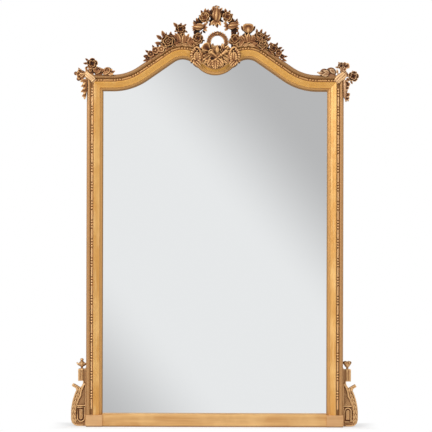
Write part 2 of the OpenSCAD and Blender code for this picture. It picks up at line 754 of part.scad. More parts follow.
// Carved shield with a fan of ribs, over the dip's band
shell_s = arris_s - 8;
shell_half = 55;
shell_t = 5;
shell_ribs = 7;
rib_step = 15;
shell_hub_z = peak_z + 31;
module cartouche_shell() {
    rise = (shell_half - (dip_r - shell_s) * sin(inner_tilt)) * tan(inner_tilt);
    low = dip_z - (dip_r - shell_s) * cos(inner_tilt) + rise;
    right = concat(arc([0, dip_z], dip_r - shell_s, -90, -90 + inner_tilt),
        [[shell_half, low], [shell_half, ground_top - 4], [shell_half - 6, ground_top]]);
    color("goldenrod") upright() translate([0, 0, carve_h]) {
        linear_extrude(shell_t) polygon(concat(right, flipped(right)));
        for (i = [0:shell_ribs - 1]) let (k = i - (shell_ribs - 1) / 2)
            translate([0, shell_hub_z, 0]) rotate([0, 0, -90 + k * rib_step]) hull() {
                translate([34, 0, 0]) cylinder(d = 5, h = shell_t + 4, $fn = 8);
                translate([56 - 2 * abs(k), 0, 0]) cylinder(d1 = 14, d2 = 8, h = shell_t + 9, $fn = 10);
            }
    }
}

// C-scroll with an eye at each end, laid over the hump moulding's inner end
scroll_x = 81;
scroll_z = peak_z + 19;
scroll_r = 17;
scroll_d = 14;
eye_r = 8;
module cartouche_scroll(side) {
    color("darkgoldenrod") mirrored(side) upright() translate([scroll_x, scroll_z, carve_h]) {
        rotate([0, 0, -110]) rotate_extrude(angle = 240)
            translate([scroll_r, 0]) polygon(arc([0, 0], scroll_d / 2, 0, 180));
        translate([-scroll_r * 0.4, scroll_r * 1.35, 0]) cylinder(r = eye_r, h = 11);
        translate([-scroll_r * 0.3, -scroll_r * 1.2, 0]) cylinder(r = eye_r, h = 11);
    }
}

// Pierced ring that stands on the ground block's top
ring_x = 8;
ring_h = (back_t + front_h) / 2;
module crest_ring() {
    color("goldenrod") upright() difference() {
        translate([ring_x, ring_z, ring_h]) rotate_extrude($fn = 64) translate([ring_r, 0])
            circle(d = ring_d);
        translate([-2 * ring_r, ring_z - 3 * ring_r, 0])
            cube([4 * ring_r + ring_d, 3 * ring_r - ring_z + ground_top + seat, 2 * ring_h]);
    }
}

// Quiver and torch crossed below a knop, planted on the shield
module spindle(l, d1, d2) {
    hull() {
        translate([-l / 2, 0, d1 / 2]) rotate([0, 90, 0]) cylinder(d = d1, h = 2, $fn = 10);
        translate([l / 2 - 2, 0, d2 / 2]) rotate([0, 90, 0]) cylinder(d = d2, h = 2, $fn = 10);
    }
}
trophy_l = 80;
trophy_z = shell_hub_z + 9;
trophy_tilt = 33;
module crest_trophy() {
    color("darkgoldenrod") upright() translate([0, trophy_z, carve_h + shell_t + seat]) {
        rotate([0, 0, trophy_tilt]) spindle(trophy_l, 10, 15);
        rotate([0, 0, 180 - trophy_tilt]) spindle(trophy_l, 10, 15);
        for (turn = [trophy_tilt, 180 - trophy_tilt], u = [16, 28]) rotate([0, 0, turn])
            translate([u, 0, 0]) spindle(4, 17, 17);
        hull() {
            translate([3, -4, 0]) cylinder(d = 16, h = 8, $fn = 12);
            translate([3, 10, 0]) cylinder(d1 = 20, d2 = 12, h = 14, $fn = 12);
        }
        translate([0, 2, 0]) rotate([0, 0, -90]) leaf(28, 22, 13);
    }
}

// Arch board that carries the crest's flowers: its feet seat on the hump mouldings
arch_out = arch_r + arch_w / 2;
arch_in = arch_r - arch_w / 2;
hump_out = hump_r + moulding_w;
module crest_arch() {
    foot_z = hump_z + hump_out * 0.78;
    color("darkgoldenrod") upright() {
        difference() {
            translate([0, 0, arch_back]) linear_extrude(arch_t) polygon(concat(
                arc([0, arch_z], arch_out, 0, 180), [[-arch_out, foot_z], [-arch_in, foot_z]],
                arc([0, arch_z], arch_in, 180, 0), [[arch_in, foot_z], [arch_out, foot_z]]));
            for (side = [-1, 1]) translate([side * hump_x, hump_z, -past])
                cylinder(r = hump_out + seat, h = arch_t + 2 * arch_back, $fn = 180);
        }
        arch_tenon(0);
    }
}

flower_h = arch_back + arch_t + seat;
module crest_top_rose() {
    color("goldenrod") upright() translate([0, 0, flower_h]) {
        at(0, crest_top - 28, 97) rose(57, 30);
        at(-9, arch_z + arch_r - 6, -125) leaf(40, 20, 14);
        at(0, arch_z + arch_r - 10, -92) leaf(46, 20, 14);
        at(9, arch_z + arch_r - 6, -55) leaf(38, 18, 14);
    }
}

module left_crest_flowers() {
    color("goldenrod") upright() translate([0, 0, flower_h]) {
        at(-52, arch_z + 62) blossom(40, 22);
        at(-77, arch_z + 15, 20) rose(54, 30);
        at(-78, arch_z - 33) rose(46, 26);
        at(-60, arch_z + 46, 170) leaf(40, 22, 14);
        at(-58, arch_z + 44, -40) leaf(36, 18, 14);
        at(-72, arch_z - 8, -30) leaf(34, 20, 14);
    }
}

module right_crest_flowers() {
    color("goldenrod") upright() translate([0, 0, flower_h]) {
        at(52, arch_z + 60) blossom(38, 22);
        at(77, arch_z + 14, 40) rose(48, 28);
        at(81, arch_z - 32) rose(46, 26);
        at(62, arch_z + 44, 20) leaf(36, 20, 14);
        at(58, arch_z + 42, -130) leaf(38, 18, 14);
        at(72, arch_z - 8, -150) leaf(30, 18, 14);
    }
}

// Garlands run from the cartouche down the humps' outer edges, on a bed that follows the moulding
bed_start = 48;
bed_in = torus_s + torus_r;
bed_out = moulding_w + 12;
bed_l = 208;
garland_bed_t = 7;
function bed_line(s, to) = [for (t = [bed_start:8:to]) let (p = rail_place(s, t)) [p[0], p[1]]];
module garland_bed() {
    linear_extrude(garland_bed_t)
        polygon(concat(bed_line(bed_in, bed_l + 40), backward(bed_line(bed_out, bed_l))));
}

// Leaves that fan out from the bed, alternately forward and back, and shorter towards the end
module bed_leaves(n, long, short) {
    for (k = [0:n - 1])
        let (p = rail_place(bed_out - 8, bed_start + 12 + k * (bed_l - bed_start) / n))
        at(p[0], p[1], p[2] + (k % 2 == 0 ? 108 : 44)) leaf(long + (short - long) * k / (n - 1), 23, 16);
}

// The two leaves that close the bed's end
module bed_end(l) {
    p = rail_place(bed_in, bed_l + 14);
    at(p[0], p[1], p[2] + 6) leaf(l, 18, 12);
    at(p[0], p[1], p[2] + 42) leaf(l, 20, 14);
}

module left_garland() {
    color("goldenrod") mirrored(-1) upright() translate([0, 0, carve_h]) {
        garland_bed();
        bed_leaves(9, 46, 30);
        at(200, peak_z + 73, 10) rose(58, 28);
        at(148, peak_z + 121) rose(42, 26);
        at(150, peak_z + 91, 80) leaf(50, 26, 18);
        at(170, peak_z + 87, 60) leaf(58, 24, 16);
        at(126, peak_z + 73, 110) leaf(48, 24, 16);
        at(266, peak_z + 25) blossom(34, 20);
        bed_end(40);
    }
}

module right_garland() {
    color("goldenrod") upright() translate([0, 0, carve_h]) {
        garland_bed();
        bed_leaves(9, 42, 30);
        at(204, peak_z + 75, 10) rose(52, 28);
        at(137, peak_z + 131) rose(44, 26);
        at(140, peak_z + 81, 90) leaf(52, 28, 18);
        at(166, peak_z + 81, 75) leaf(52, 26, 16);
        at(120, peak_z + 73, 115) leaf(44, 24, 16);
        at(247, peak_z + 43) blossom(34, 20);
        bed_end(46);
    }
}

stile_moulding(-1);  // left_stile_moulding
stile_moulding(1);  // right_stile_moulding
bottom_rail();
plinth(-1);  // left_plinth
plinth(1);  // right_plinth
corner_rail(-1);  // left_corner_rail
corner_rail(1);  // right_corner_rail
shoulder_rail(-1);  // left_shoulder_rail
shoulder_rail(1);  // right_shoulder_rail
slope_rail(-1);  // left_slope_rail
slope_rail(1);  // right_slope_rail
hump_rail(-1);  // left_hump_rail
hump_rail(1);  // right_hump_rail
inner_rail(-1);  // left_inner_rail
inner_rail(1);  // right_inner_rail
dip_rail();
stile_beads(-1);  // left_stile_beads
stile_beads(1);  // right_stile_beads
top_beads(-1);  // left_top_beads
top_beads(1);  // right_top_beads
mirror_plate();
glazing_blocks();
back_stile(-1);  // back_left_stile
back_stile(1);  // back_right_stile
back_bottom_rail();
back_top_rail();
backboard(-1);  // backboard_left
backboard(0);  // backboard_centre
backboard(1);  // backboard_right
backboard_screws();
hanging_plate(-1);  // left_hanging_plate
hanging_plate(1);  // right_hanging_plate
hanging_plate_screws();
bracket(-1);  // left_bracket
bracket(1);  // right_bracket
bracket_bud(-1);  // left_bracket_bud
bracket_bud(1);  // right_bracket_bud
corner_ribbon(-1);  // left_corner_ribbon
corner_ribbon(1);  // right_corner_ribbon
left_corner_spray();
right_corner_spray();
cartouche_ground();
cartouche_shell();
cartouche_scroll(-1);  // left_cartouche_scroll
cartouche_scroll(1);  // right_cartouche_scroll
crest_trophy();
crest_ring();
crest_arch();
crest_top_rose();
left_crest_flowers();
right_crest_flowers();
left_garland();
right_garland();
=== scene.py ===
"""Overmantel mirror: gilding, carving, glass, old pine back, and the studio it stands in.

The carving is modelled flat in millimetres (x across, y up, z out of the wall), then stood up
in metres in the frame's own place: the front faces -Y and the shelf is Z = 0.
"""
import math
import random

import bmesh
import bpy
import numpy as np
from mathutils import Matrix, Vector


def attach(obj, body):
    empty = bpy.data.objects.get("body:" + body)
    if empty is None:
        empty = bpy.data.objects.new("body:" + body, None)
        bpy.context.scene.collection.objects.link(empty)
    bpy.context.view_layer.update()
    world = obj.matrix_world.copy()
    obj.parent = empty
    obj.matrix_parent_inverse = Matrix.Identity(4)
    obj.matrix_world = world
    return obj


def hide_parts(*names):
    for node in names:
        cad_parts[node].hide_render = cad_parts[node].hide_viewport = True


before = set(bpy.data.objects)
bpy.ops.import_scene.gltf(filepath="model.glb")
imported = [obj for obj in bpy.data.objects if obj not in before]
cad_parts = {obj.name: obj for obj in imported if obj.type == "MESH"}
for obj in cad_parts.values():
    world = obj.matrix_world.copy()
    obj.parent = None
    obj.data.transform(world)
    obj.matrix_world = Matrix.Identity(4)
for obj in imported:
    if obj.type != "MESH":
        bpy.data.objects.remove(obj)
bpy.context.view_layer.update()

MM = 0.001

# ---- Sizes that the carving and the finishes follow, in millimetres ----

HALF_SIGHT = 475.5
SHOULDER_Z = 1423.0
RAIL_H = 54.0
HUMP_X, HUMP_R, HUMP_RISE = 138.0, 64.0, 136.0
DIP_R, DIP_DROP = 100.0, 67.0
SHOULDER_R, FLAT_RUN = 260.0, 40.5
LIP_W, COVE_W, BAND_W, BED_W, OUTER_W = 5.0, 9.0, 25.0, 14.0, 16.0
BACK_T, CARVE_H = 24.0, 59.2
# gold left showing between the glass and the shield
DIP_BAND = 25
# height of a bracket's flat web, and the sunk panel at its foot
BRACKET_WEB = 34.0
PANEL_MID, PANEL_LOW, PANEL_HIGH = 22.0, 19.0, 82.0

BAND_S = LIP_W + COVE_W
ARRIS_S = BAND_S + BAND_W
TORUS_S = ARRIS_S + BED_W
MOULDING_W = TORUS_S + OUTER_W
FRAME_SIDE = HALF_SIGHT + MOULDING_W
HUMP_Z = SHOULDER_Z + HUMP_RISE - HUMP_R
DIP_Z = SHOULDER_Z + HUMP_RISE - DIP_DROP + DIP_R
SHOULDER_X = HALF_SIGHT - FLAT_RUN
SHOULDER_CZ = SHOULDER_Z + SHOULDER_R

SIDES = ((-1, "left"), (1, "right"))


def tangent_tilt(radii, across, up):
    """Tilt of the straight that is tangent to two arcs which curve opposite ways."""
    return math.asin(radii / math.hypot(across, up)) - math.atan2(up, across)


INNER_TILT = tangent_tilt(DIP_R + HUMP_R, HUMP_X, DIP_Z - HUMP_Z)
OUTER_TILT = tangent_tilt(SHOULDER_R + HUMP_R, SHOULDER_X - HUMP_X, SHOULDER_CZ - HUMP_Z)


def srgb(r, g, b):
    """A colour from its values on a screen, 0 to 255."""
    def linear(v):
        v /= 255
        return v / 12.92 if v <= 0.04045 else ((v + 0.055) / 1.055) ** 2.4
    return (linear(r), linear(g), linear(b), 1.0)


# ---- Shader maths ----

def maths(operation, swapped=False):
    """A method of Num that adds one Math node, with its own number last where swapped."""
    def method(self, *others):
        values = [self, *others]
        if swapped:
            values.reverse()
        node = self.finish.node("ShaderNodeMath", {"operation": operation}, dict(enumerate(values)))
        return Num(self.finish, node.outputs[0])
    return method


class Num:
    """A number that varies over a surface. Maths on it adds Math nodes."""

    def __init__(self, finish, socket):
        self.finish = finish
        self.socket = socket

    __add__ = __radd__ = maths("ADD")
    __sub__ = maths("SUBTRACT")
    __rsub__ = maths("SUBTRACT", swapped=True)
    __mul__ = __rmul__ = maths("MULTIPLY")
    __truediv__ = maths("DIVIDE")
    __abs__ = maths("ABSOLUTE")
    root = maths("SQRT")
    lowest = maths("MINIMUM")
    highest = maths("MAXIMUM")

    def between(self, low, high):
        """0 below low, 1 above high and a smooth rise between them; falls when low is above high."""
        node = self.finish.node("ShaderNodeMapRange", {"interpolation_type": "SMOOTHSTEP"},
                                {"Value": self, "From Min": low, "From Max": high})
        return Num(self.finish, node.outputs[0])


class Nodes:
    """A node tree whose nodes are all added by one method."""

    def __init__(self, owner):
        owner.use_nodes = True
        self.tree = owner.node_tree
        self.tree.nodes.clear()

    def node(self, kind, settings, values):
        """Adds a node: its settings first, then each socket's value or link."""
        node = self.tree.nodes.new(kind)
        for name, value in settings.items():
            setattr(node, name, value)
        for key, value in values.items():
            if isinstance(value, Num):
                value = value.socket
            if isinstance(value, bpy.types.NodeSocket):
                self.tree.links.new(value, node.inputs[key])
            else:
                node.inputs[key].default_value = value
        return node


class Finish(Nodes):
    """A material, and the place of a point on it in millimetres."""

    def __init__(self, name):
        self.material = bpy.data.materials.new(name)
        super().__init__(self.material)
        self.place = self.node("ShaderNodeTexCoord", {}, {}).outputs["Object"]
        parts = self.node("ShaderNodeSeparateXYZ", {}, {0: self.place})
        self.x, self.y, self.z = (Num(self, s) / MM for s in parts.outputs)

    def noise(self, scale, detail=3.0, rough=0.55, stretch=(1, 1, 1)):
        """Cloudy noise, 0 to 1, with scale in cells to the metre."""
        where = self.node("ShaderNodeMapping", {}, {"Vector": self.place, "Scale": stretch})
        node = self.node("ShaderNodeTexNoise", {}, {"Vector": where.outputs[0], "Scale": scale,
                                                   "Detail": detail, "Roughness": rough})
        return Num(self, node.outputs["Fac"])

    def blend(self, share, first, second):
        """A colour between two, by share."""
        node = self.node("ShaderNodeMix", {"data_type": "RGBA"}, {0: share, 6: first, 7: second})
        return node.outputs[2]

    def read(self, attribute):
        return Num(self, self.node("ShaderNodeAttribute", {"attribute_name": attribute}, {}).outputs["Fac"])

    def end(self, shader):
        """Makes a shader the material's surface."""
        self.node("ShaderNodeOutputMaterial", {}, {"Surface": shader.outputs[0]})
        return self.material

    def surface(self, colour, rough, height=None, depth=0.001, strength=0.5, **fixed):
        """Ends the material with a Principled shader, and a bump of the given depth in metres."""
        values = {"Base Color": colour, "Roughness": rough}
        if height is not None:
            bump = self.node("ShaderNodeBump", {},
                             {"Height": height, "Distance": depth, "Strength": strength})
            values["Normal"] = bump.outputs[0]
        values.update(fixed)
        return self.end(self.node("ShaderNodeBsdfPrincipled", {}, values))


# ---- Gilding ----

GOLD = srgb(232, 182, 108)
GOLD_PALE = srgb(240, 198, 134)
GOLD_DEEP = srgb(214, 156, 78)
GOLD_WARM = srgb(216, 156, 62)
# painted shade on the lip and cove
SLOPE_SHADE_GOLD = srgb(206, 154, 88)
OUTER_GOLD = srgb(184, 137, 86)
# painted shade on the outer member of the top rails
TOP_OUTER_SHADE_GOLD = srgb(158, 116, 70)
# painted shade at the sight edge, where the lip meets the glass
LIP_SHADE_BROWN = srgb(126, 92, 58)
# painted shade in the bead bed; the second colour is for where it lies deepest
BED_SHADE_BROWN = srgb(146, 100, 58)
BED_SHADE_DEEP = srgb(112, 68, 28)
UMBER = srgb(98, 54, 24)
DARK_UMBER = srgb(42, 20, 9)
BOLE = srgb(150, 84, 44)
GILT_METAL = 0.35


def distance_to(finish, cx, cz):
    dx, dz = abs(finish.x) - cx, finish.z - cz
    return (dx * dx + dz * dz).root()


def beyond_line(finish, px, pz, tilt):
    """Distance above a straight through (px, pz) that falls outwards by tilt."""
    return (abs(finish.x) - px) * math.sin(tilt) + (finish.z - pz) * math.cos(tilt)


# distance outward from the glass edge, for each length of moulding
ACROSS = {
    "stile": lambda f: abs(f.x) - HALF_SIGHT,
    "corner": lambda f: f.z - SHOULDER_Z,
    "shoulder": lambda f: SHOULDER_R - distance_to(f, SHOULDER_X, SHOULDER_CZ),
    "slope": lambda f: beyond_line(f, HUMP_X + HUMP_R * math.sin(OUTER_TILT),
                                   HUMP_Z + HUMP_R * math.cos(OUTER_TILT), OUTER_TILT),
    "hump": lambda f: distance_to(f, HUMP_X, HUMP_Z) - HUMP_R,
    "inner": lambda f: beyond_line(f, DIP_R * math.sin(INNER_TILT),
                                   DIP_Z - DIP_R * math.cos(INNER_TILT), -INNER_TILT),
    "dip": lambda f: DIP_R - distance_to(f, 0.0, DIP_Z),
}


def moulding_finish(length, warm=0.0):
    """Worn gilding: bright on the band, with painted shade on the lip and cove and in the bed and the
    quirks.
    """
    f = Finish("gilding_" + length)
    s = ACROSS[length](f)
    cloud = f.noise(9, 4)
    fleck = f.noise(140, 4, 0.7)
    streak = f.noise(60, 3, 0.6, (1, 1, 0.08) if length == "stile" else (1, 1, 1))
    gold = f.blend(cloud.between(0.35, 0.68), GOLD_DEEP, GOLD)
    gold = f.blend(streak.between(0.5, 0.75) * 0.6, gold, GOLD_PALE)
    gold = f.blend(warm, gold, GOLD_WARM)
    # the lip and cove are painted darker as shade, and the lip's brown spreads over the cove on the corner,
    # shoulder, slope and hump rails; the outer member is browner, and darker still on the top rails as
    # painted shade
    colour = f.blend(s.between(BAND_S + 1.5, BAND_S - 2), gold, SLOPE_SHADE_GOLD)
    # the lip's brown is painted shade at the sight edge
    lip = (4.5, 2.0) if length in ("stile", "inner", "dip") else (11.0, 4.0)
    colour = f.blend(s.between(*lip) * 0.75, colour, LIP_SHADE_BROWN)
    # on the top rails the outer member takes a darker brown: painted shade
    outer = OUTER_GOLD if length == "stile" else TOP_OUTER_SHADE_GOLD
    colour = f.blend(s.between(TORUS_S - 1, TORUS_S + 2), colour, outer)
    # painted shade in the bed and in the quirks beside it, darker the deeper it lies
    depth = f.y * -1
    bed = s.between(ARRIS_S - 0.5, ARRIS_S + 1) * s.between(TORUS_S + 2.5, TORUS_S)
    bed_shade_colour = f.blend(s.between(ARRIS_S + 4, ARRIS_S + 10), BED_SHADE_BROWN, BED_SHADE_DEEP)
    colour = f.blend(bed * depth.between(56, 50) * (0.72 + 0.28 * cloud), colour, bed_shade_colour)
    side = s.between(MOULDING_W - 1.2, MOULDING_W - 0.4)
    colour = f.blend(side * 0.55, colour, BOLE)
    # rubbed spots show the red ground, and old dirt clings in spots
    rub = fleck.between(0.64, 0.74) * cloud.between(0.45, 0.6)
    colour = f.blend(rub * 0.45, colour, BOLE)
    spot = f.noise(420, 2, 0.5).between(0.68, 0.8)
    colour = f.blend(spot * 0.35, colour, UMBER)
    rough = 0.36 + 0.2 * cloud + 0.25 * rub
    height = fleck * 0.6 + spot * -0.5 + streak * 0.5
    return f.surface(colour, rough, height, 0.0006, 0.35, Metallic=GILT_METAL)


def bead_finish(name, dull, bright):
    """Beads: gold crowns, with painted shade in umber where they meet the bed."""
    f = Finish(name)
    # painted shade: umber low down, where the beads meet the bed
    crown = (f.y * -1).between(48.6, 51.6)
    colour = f.blend(crown, UMBER, f.blend(f.noise(30, 3), dull, bright))
    rub = f.noise(260, 3, 0.7).between(0.62, 0.74)
    colour = f.blend(rub * 0.5, colour, BOLE)
    return f.surface(colour, 0.42 + 0.2 * rub, f.noise(500, 2), 0.0003, 0.3, Metallic=GILT_METAL)


def rail_finish(name, main, second):
    """Flat gilt board with rubbed edges and faint grain along its length."""
    f = Finish(name)
    grain = f.noise(70, 4, 0.6, (0.05, 1, 1))
    colour = f.blend(grain.between(0.3, 0.7), main, second)
    colour = f.blend(f.noise(8, 3).between(0.5, 0.75) * 0.5, colour, GOLD_PALE)
    # painted shadow: umber along the foot, where the board stands on the shelf
    foot = f.z.between(7.0, 1.0)
    colour = f.blend(foot * 0.8, colour, UMBER)
    rub = f.noise(160, 4, 0.7).between(0.63, 0.75)
    colour = f.blend(rub * 0.5, colour, BOLE)
    return f.surface(colour, 0.4 + 0.2 * grain, grain * 0.7 + rub * -0.5, 0.0005, 0.4, Metallic=GILT_METAL)


def carved_finish(name, bright, mid, brightening=0.0, ground=None):
    """Old gilding on carving, with painted light: each point's rank is 1 on the rubbed high points, given a
    painted highlight, and 0 in the hollows, given painted shade.

    Raising the number after the colours moves the whole ramp up, so more of it takes the painted highlight.
    Flat ground at the height `ground` is painted darker as shade, most of all in a bracket's sunk panel.
    """
    f = Finish(name)
    cloud = f.noise(22, 4)
    fleck = f.noise(260, 4, 0.7)
    shade_and_wear_rank = f.read("shade_and_wear") + brightening + 0.16 * (fleck - 0.5) + 0.3 * (cloud - 0.5)
    # the ramp paints shade and highlight along with wear: dark umber in the hollows, umber and mid between,
    # bright on the rubbed high points
    colour = f.blend(shade_and_wear_rank.between(0.34, 0.62), DARK_UMBER, UMBER)
    colour = f.blend(shade_and_wear_rank.between(0.54, 0.76), colour, mid)
    colour = f.blend(shade_and_wear_rank.between(0.8, 1.0), colour, bright)
    if ground:
        # painted shade: the flat sunk ground is darkened with umber, most of all inside a bracket's sunk
        # panel
        depth, across = f.y * -1, abs(f.x) - (FRAME_SIDE + PANEL_MID)
        flat = depth.between(ground + 1.6, ground + 0.5) * depth.between(ground - 2, ground - 0.8)
        panel = (abs(across).between(14, 12.5) * f.z.between(PANEL_HIGH + 2, PANEL_HIGH)
                 * f.z.between(PANEL_LOW - 3, PANEL_LOW - 1))
        colour = f.blend(flat * (0.16 + 0.2 * cloud + 0.6 * panel), colour, UMBER)
    rub = fleck.between(0.6, 0.72) * cloud.between(0.45, 0.62)
    colour = f.blend(rub * 0.4, colour, BOLE)
    rough = 0.7 - 0.3 * shade_and_wear_rank.between(0.5, 0.95)
    return f.surface(colour, rough, fleck, 0.0007, 0.4, **{"Metallic": 0.2, "Specular IOR Level": 0.3})


# ---- Glass, pine and steel ----

SILVER, FOXING = srgb(247, 248, 248), srgb(150, 140, 126)
PINE, PINE_DARK = srgb(168, 124, 76), srgb(120, 80, 46)
PINE_STAIN = srgb(96, 66, 40)
RUST = srgb(96, 62, 40)


def mirror_finish():
    """Flat silvered glass with a little foxing close to its edge."""
    f = Finish("mirror")
    edge = (HALF_SIGHT - abs(f.x)).lowest(f.z - RAIL_H)
    spots = f.noise(90, 5, 0.75).between(0.66, 0.72) * edge.between(26, 0)
    return f.surface(f.blend(spots * 0.5, SILVER, FOXING), 0.015 + 0.25 * spots, Metallic=1.0)


def old_wood(name, light, dark, along):
    """Bare softwood with its grain along one axis: 0 is X and 2 is Z."""
    f = Finish(name)
    stretch = [1.0, 1.0, 1.0]
    stretch[along] = 0.04
    grain = f.noise(55, 6, 0.6, stretch)
    pore = f.noise(420, 2, 0.6, stretch)
    colour = f.blend(grain.between(0.3, 0.7), dark, light)
    colour = f.blend(pore.between(0.55, 0.8) * 0.5, colour, dark)
    colour = f.blend(f.noise(5, 3).between(0.4, 0.7) * 0.4, colour, PINE_STAIN)
    return f.surface(colour, 0.7 + 0.15 * grain, grain + pore * 0.4, 0.0008, 0.5)


def steel_finish(name, colour):
    f = Finish(name)
    rust = f.noise(300, 4, 0.7).between(0.56, 0.7)
    shade = f.blend(rust * 0.6, colour, RUST)
    return f.surface(shade, 0.42 + 0.3 * rust, f.noise(900, 2), 0.0002, 0.3, Metallic=0.9)


def coat(mesh, material):
    mesh.materials.clear()
    mesh.materials.append(material)


def dress(nodes, material):
    for name in nodes:
        coat(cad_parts[name].data, material)


def both(name):
    return ["left_" + name, "right_" + name]


def finish_frame_nodes():
    dress(both("stile_moulding"), moulding_finish("stile"))
    for length, warm in (("corner", 0.5), ("shoulder", 0.5), ("slope", 0.5), ("hump", 0.5), ("inner", 0.6)):
        dress(both(length + "_rail"), moulding_finish(length, warm))
    dress(["dip_rail"], moulding_finish("dip", 0.7))
    dress(both("stile_beads"), bead_finish("bead_gilding", srgb(232, 184, 126), srgb(246, 204, 150)))
    dress(both("top_beads"), bead_finish("top_bead_gilding", srgb(198, 146, 88), srgb(220, 172, 112)))
    dress(["bottom_rail"], rail_finish("rail_gilding", srgb(204, 150, 88), srgb(226, 180, 118)))
    dress(both("plinth"), rail_finish("plinth_wood", srgb(206, 156, 104), srgb(222, 176, 124)))
    dress(["mirror_plate"], mirror_finish())
    upright = old_wood("pine_upright", PINE, PINE_DARK, 2)
    dress(["back_left_stile", "back_right_stile", "glazing_blocks"], upright)
    dress(["back_bottom_rail", "back_top_rail"], old_wood("pine_across", PINE, PINE_DARK, 0))
    boards = old_wood("backboard_wood", srgb(146, 106, 66), srgb(98, 64, 38), 2)
    dress(["backboard_left", "backboard_centre", "backboard_right"], boards)
    dress(both("hanging_plate"), steel_finish("plate_steel", srgb(140, 138, 134)))
    dress(["backboard_screws", "hanging_plate_screws"], steel_finish("screw_steel", srgb(110, 106, 100)))


# ---- Carving, drawn flat in millimetres: x across, y up and z out from the wall ----

def put_down():
    bpy.ops.object.select_all(action="DESELECT")


def in_edit(selected):
    bpy.ops.object.mode_set(mode="EDIT")
    bpy.ops.mesh.select_mode(type="VERT")
    bpy.ops.mesh.select_all(action=selected)


def take_out():
    """Turns every face of the mesh in hand outward and takes the piece out of edit mode."""
    bpy.ops.mesh.select_all(action="SELECT")
    bpy.ops.mesh.normals_make_consistent(inside=False)
    bpy.ops.object.mode_set(mode="OBJECT")
    return bpy.context.object


def pick(test):
    """Selects only the points of the mesh in hand that pass a test."""
    bpy.ops.mesh.select_all(action="DESELECT")
    points = bmesh.from_edit_mesh(bpy.context.object.data)
    for v in points.verts:
        v.select_set(test(v.co))
    points.select_flush_mode()
    bmesh.update_edit_mesh(bpy.context.object.data)


def change(kind, **settings):
    """Adds a modifier to the piece in hand and applies it."""
    bpy.ops.object.modifier_add(type=kind)
    modifier = bpy.context.object.modifiers[-1]
    for name, value in settings.items():
        setattr(modifier, name, value)
    bpy.ops.object.modifier_apply(modifier=modifier.name)


def blade(stations, thick=3.0):
    """A petal, leaf or lobe along +x, from a grid whose columns move to their stations.

    A station is its place along, its half width, and the heights of its middle, of the swell
    between middle and rim, and of the rim itself.
    """
    put_down()
    last = len(stations) - 1
    bpy.ops.mesh.primitive_grid_add(x_subdivisions=last, y_subdivisions=4, size=1)
    in_edit("DESELECT")
    for i in range(last, -1, -1):
        along, half, middle, swell, rim = stations[i]
        here = i / last - 0.5
        for share, height in ((0.0, middle), (0.25, swell), (0.5, rim)):
            pick(lambda p: abs(p.x - here) < 0.02 and abs(abs(p.y) - share) < 0.02)
            bpy.ops.transform.translate(value=(0, 0, height))
        pick(lambda p: abs(p.x - here) < 0.02 and abs(p.y) < 0.6)
        bpy.ops.transform.resize(value=(1, 2 * half, 1), center_override=(here, 0, 0))
        bpy.ops.transform.translate(value=(along - here, 0, 0))
    bpy.ops.object.mode_set(mode="OBJECT")
    change("SOLIDIFY", thickness=thick, offset=-1)
    change("SUBSURF", levels=1, render_levels=1)
    return bpy.context.object


def rod(path, radii, sides=10):
    """A round stem, scroll or turned piece: a disc that is drawn out from place to place."""
    put_down()
    path = [Vector(p) for p in path]
    if not isinstance(radii, (list, tuple)):
        radii = [radii] * len(path)
    first = path[1] - path[0]
    turn = math.atan2(first.y, first.x)
    bpy.ops.mesh.primitive_circle_add(vertices=sides, radius=radii[0], fill_type="NGON",
                                      rotation=(0, math.pi / 2, 0))
    bpy.ops.object.transform_apply(location=False, rotation=True, scale=False)
    bpy.ops.transform.rotate(value=-turn, orient_axis="Z", center_override=(0, 0, 0))
    bpy.ops.transform.translate(value=path[0])
    bpy.ops.object.transform_apply()
    in_edit("SELECT")
    for i in range(1, len(path)):
        bpy.ops.mesh.extrude_region_move(TRANSFORM_OT_translate={"value": path[i] - path[i - 1]})
        if i + 1 < len(path):
            onward = path[i + 1] - path[i]
            new_turn = math.atan2(onward.y, onward.x)
            bend = (new_turn - turn + math.pi) % (2 * math.pi) - math.pi
            if abs(bend) > 1e-4:
                bpy.ops.transform.rotate(value=-bend, orient_axis="Z", center_override=path[i])
            turn = new_turn
        share = radii[i] / radii[i - 1]
        bpy.ops.transform.resize(value=(share, share, share), center_override=path[i])
    return take_out()


def turned(profile, sides=12, x=0, y=0, out=0, turn=0):
    """A turned piece laid flat from (x, y) on: (place along, radius) from one end to the other."""
    a = math.radians(turn)
    line = [(x + u * math.cos(a), y + u * math.sin(a), out) for u, r in profile]
    return rod(line, [r for u, r in profile], sides)


def board(outline, low, high):
    """A flat piece with an outline, from a disc whose rim points are moved to their places."""
    put_down()
    bpy.ops.mesh.primitive_circle_add(vertices=len(outline), radius=1, fill_type="NGON")
    in_edit("DESELECT")
    for i, (x, y) in enumerate(outline):
        points = bmesh.from_edit_mesh(bpy.context.object.data)
        points.verts.ensure_lookup_table()
        here = points.verts[i].co.copy()
        bpy.ops.mesh.select_all(action="DESELECT")
        points.verts[i].select_set(True)
        points.select_flush_mode()
        bpy.ops.transform.translate(value=(x - here.x, y - here.y, low))
    bpy.ops.mesh.select_all(action="SELECT")
    bpy.ops.mesh.extrude_region_move(TRANSFORM_OT_translate={"value": (0, 0, high - low)})
    return take_out()


def blob(length, width, height):
    """A rounded body that lies under carving: a ball pressed flat."""
    put_down()
    bpy.ops.mesh.primitive_uv_sphere_add(segments=12, ring_count=8, radius=1)
    in_edit("SELECT")
    bpy.ops.transform.resize(value=(length / 2, width / 2, height))
    bpy.ops.object.mode_set(mode="OBJECT")
    return bpy.context.object


def arc(cx, cy, r, start, end, steps):
    """Points on an arc, in degrees."""
    turns = [math.radians(start + (end - start) * i / steps) for i in range(steps + 1)]
    return [(cx + r * math.cos(a), cy + r * math.sin(a)) for a in turns]


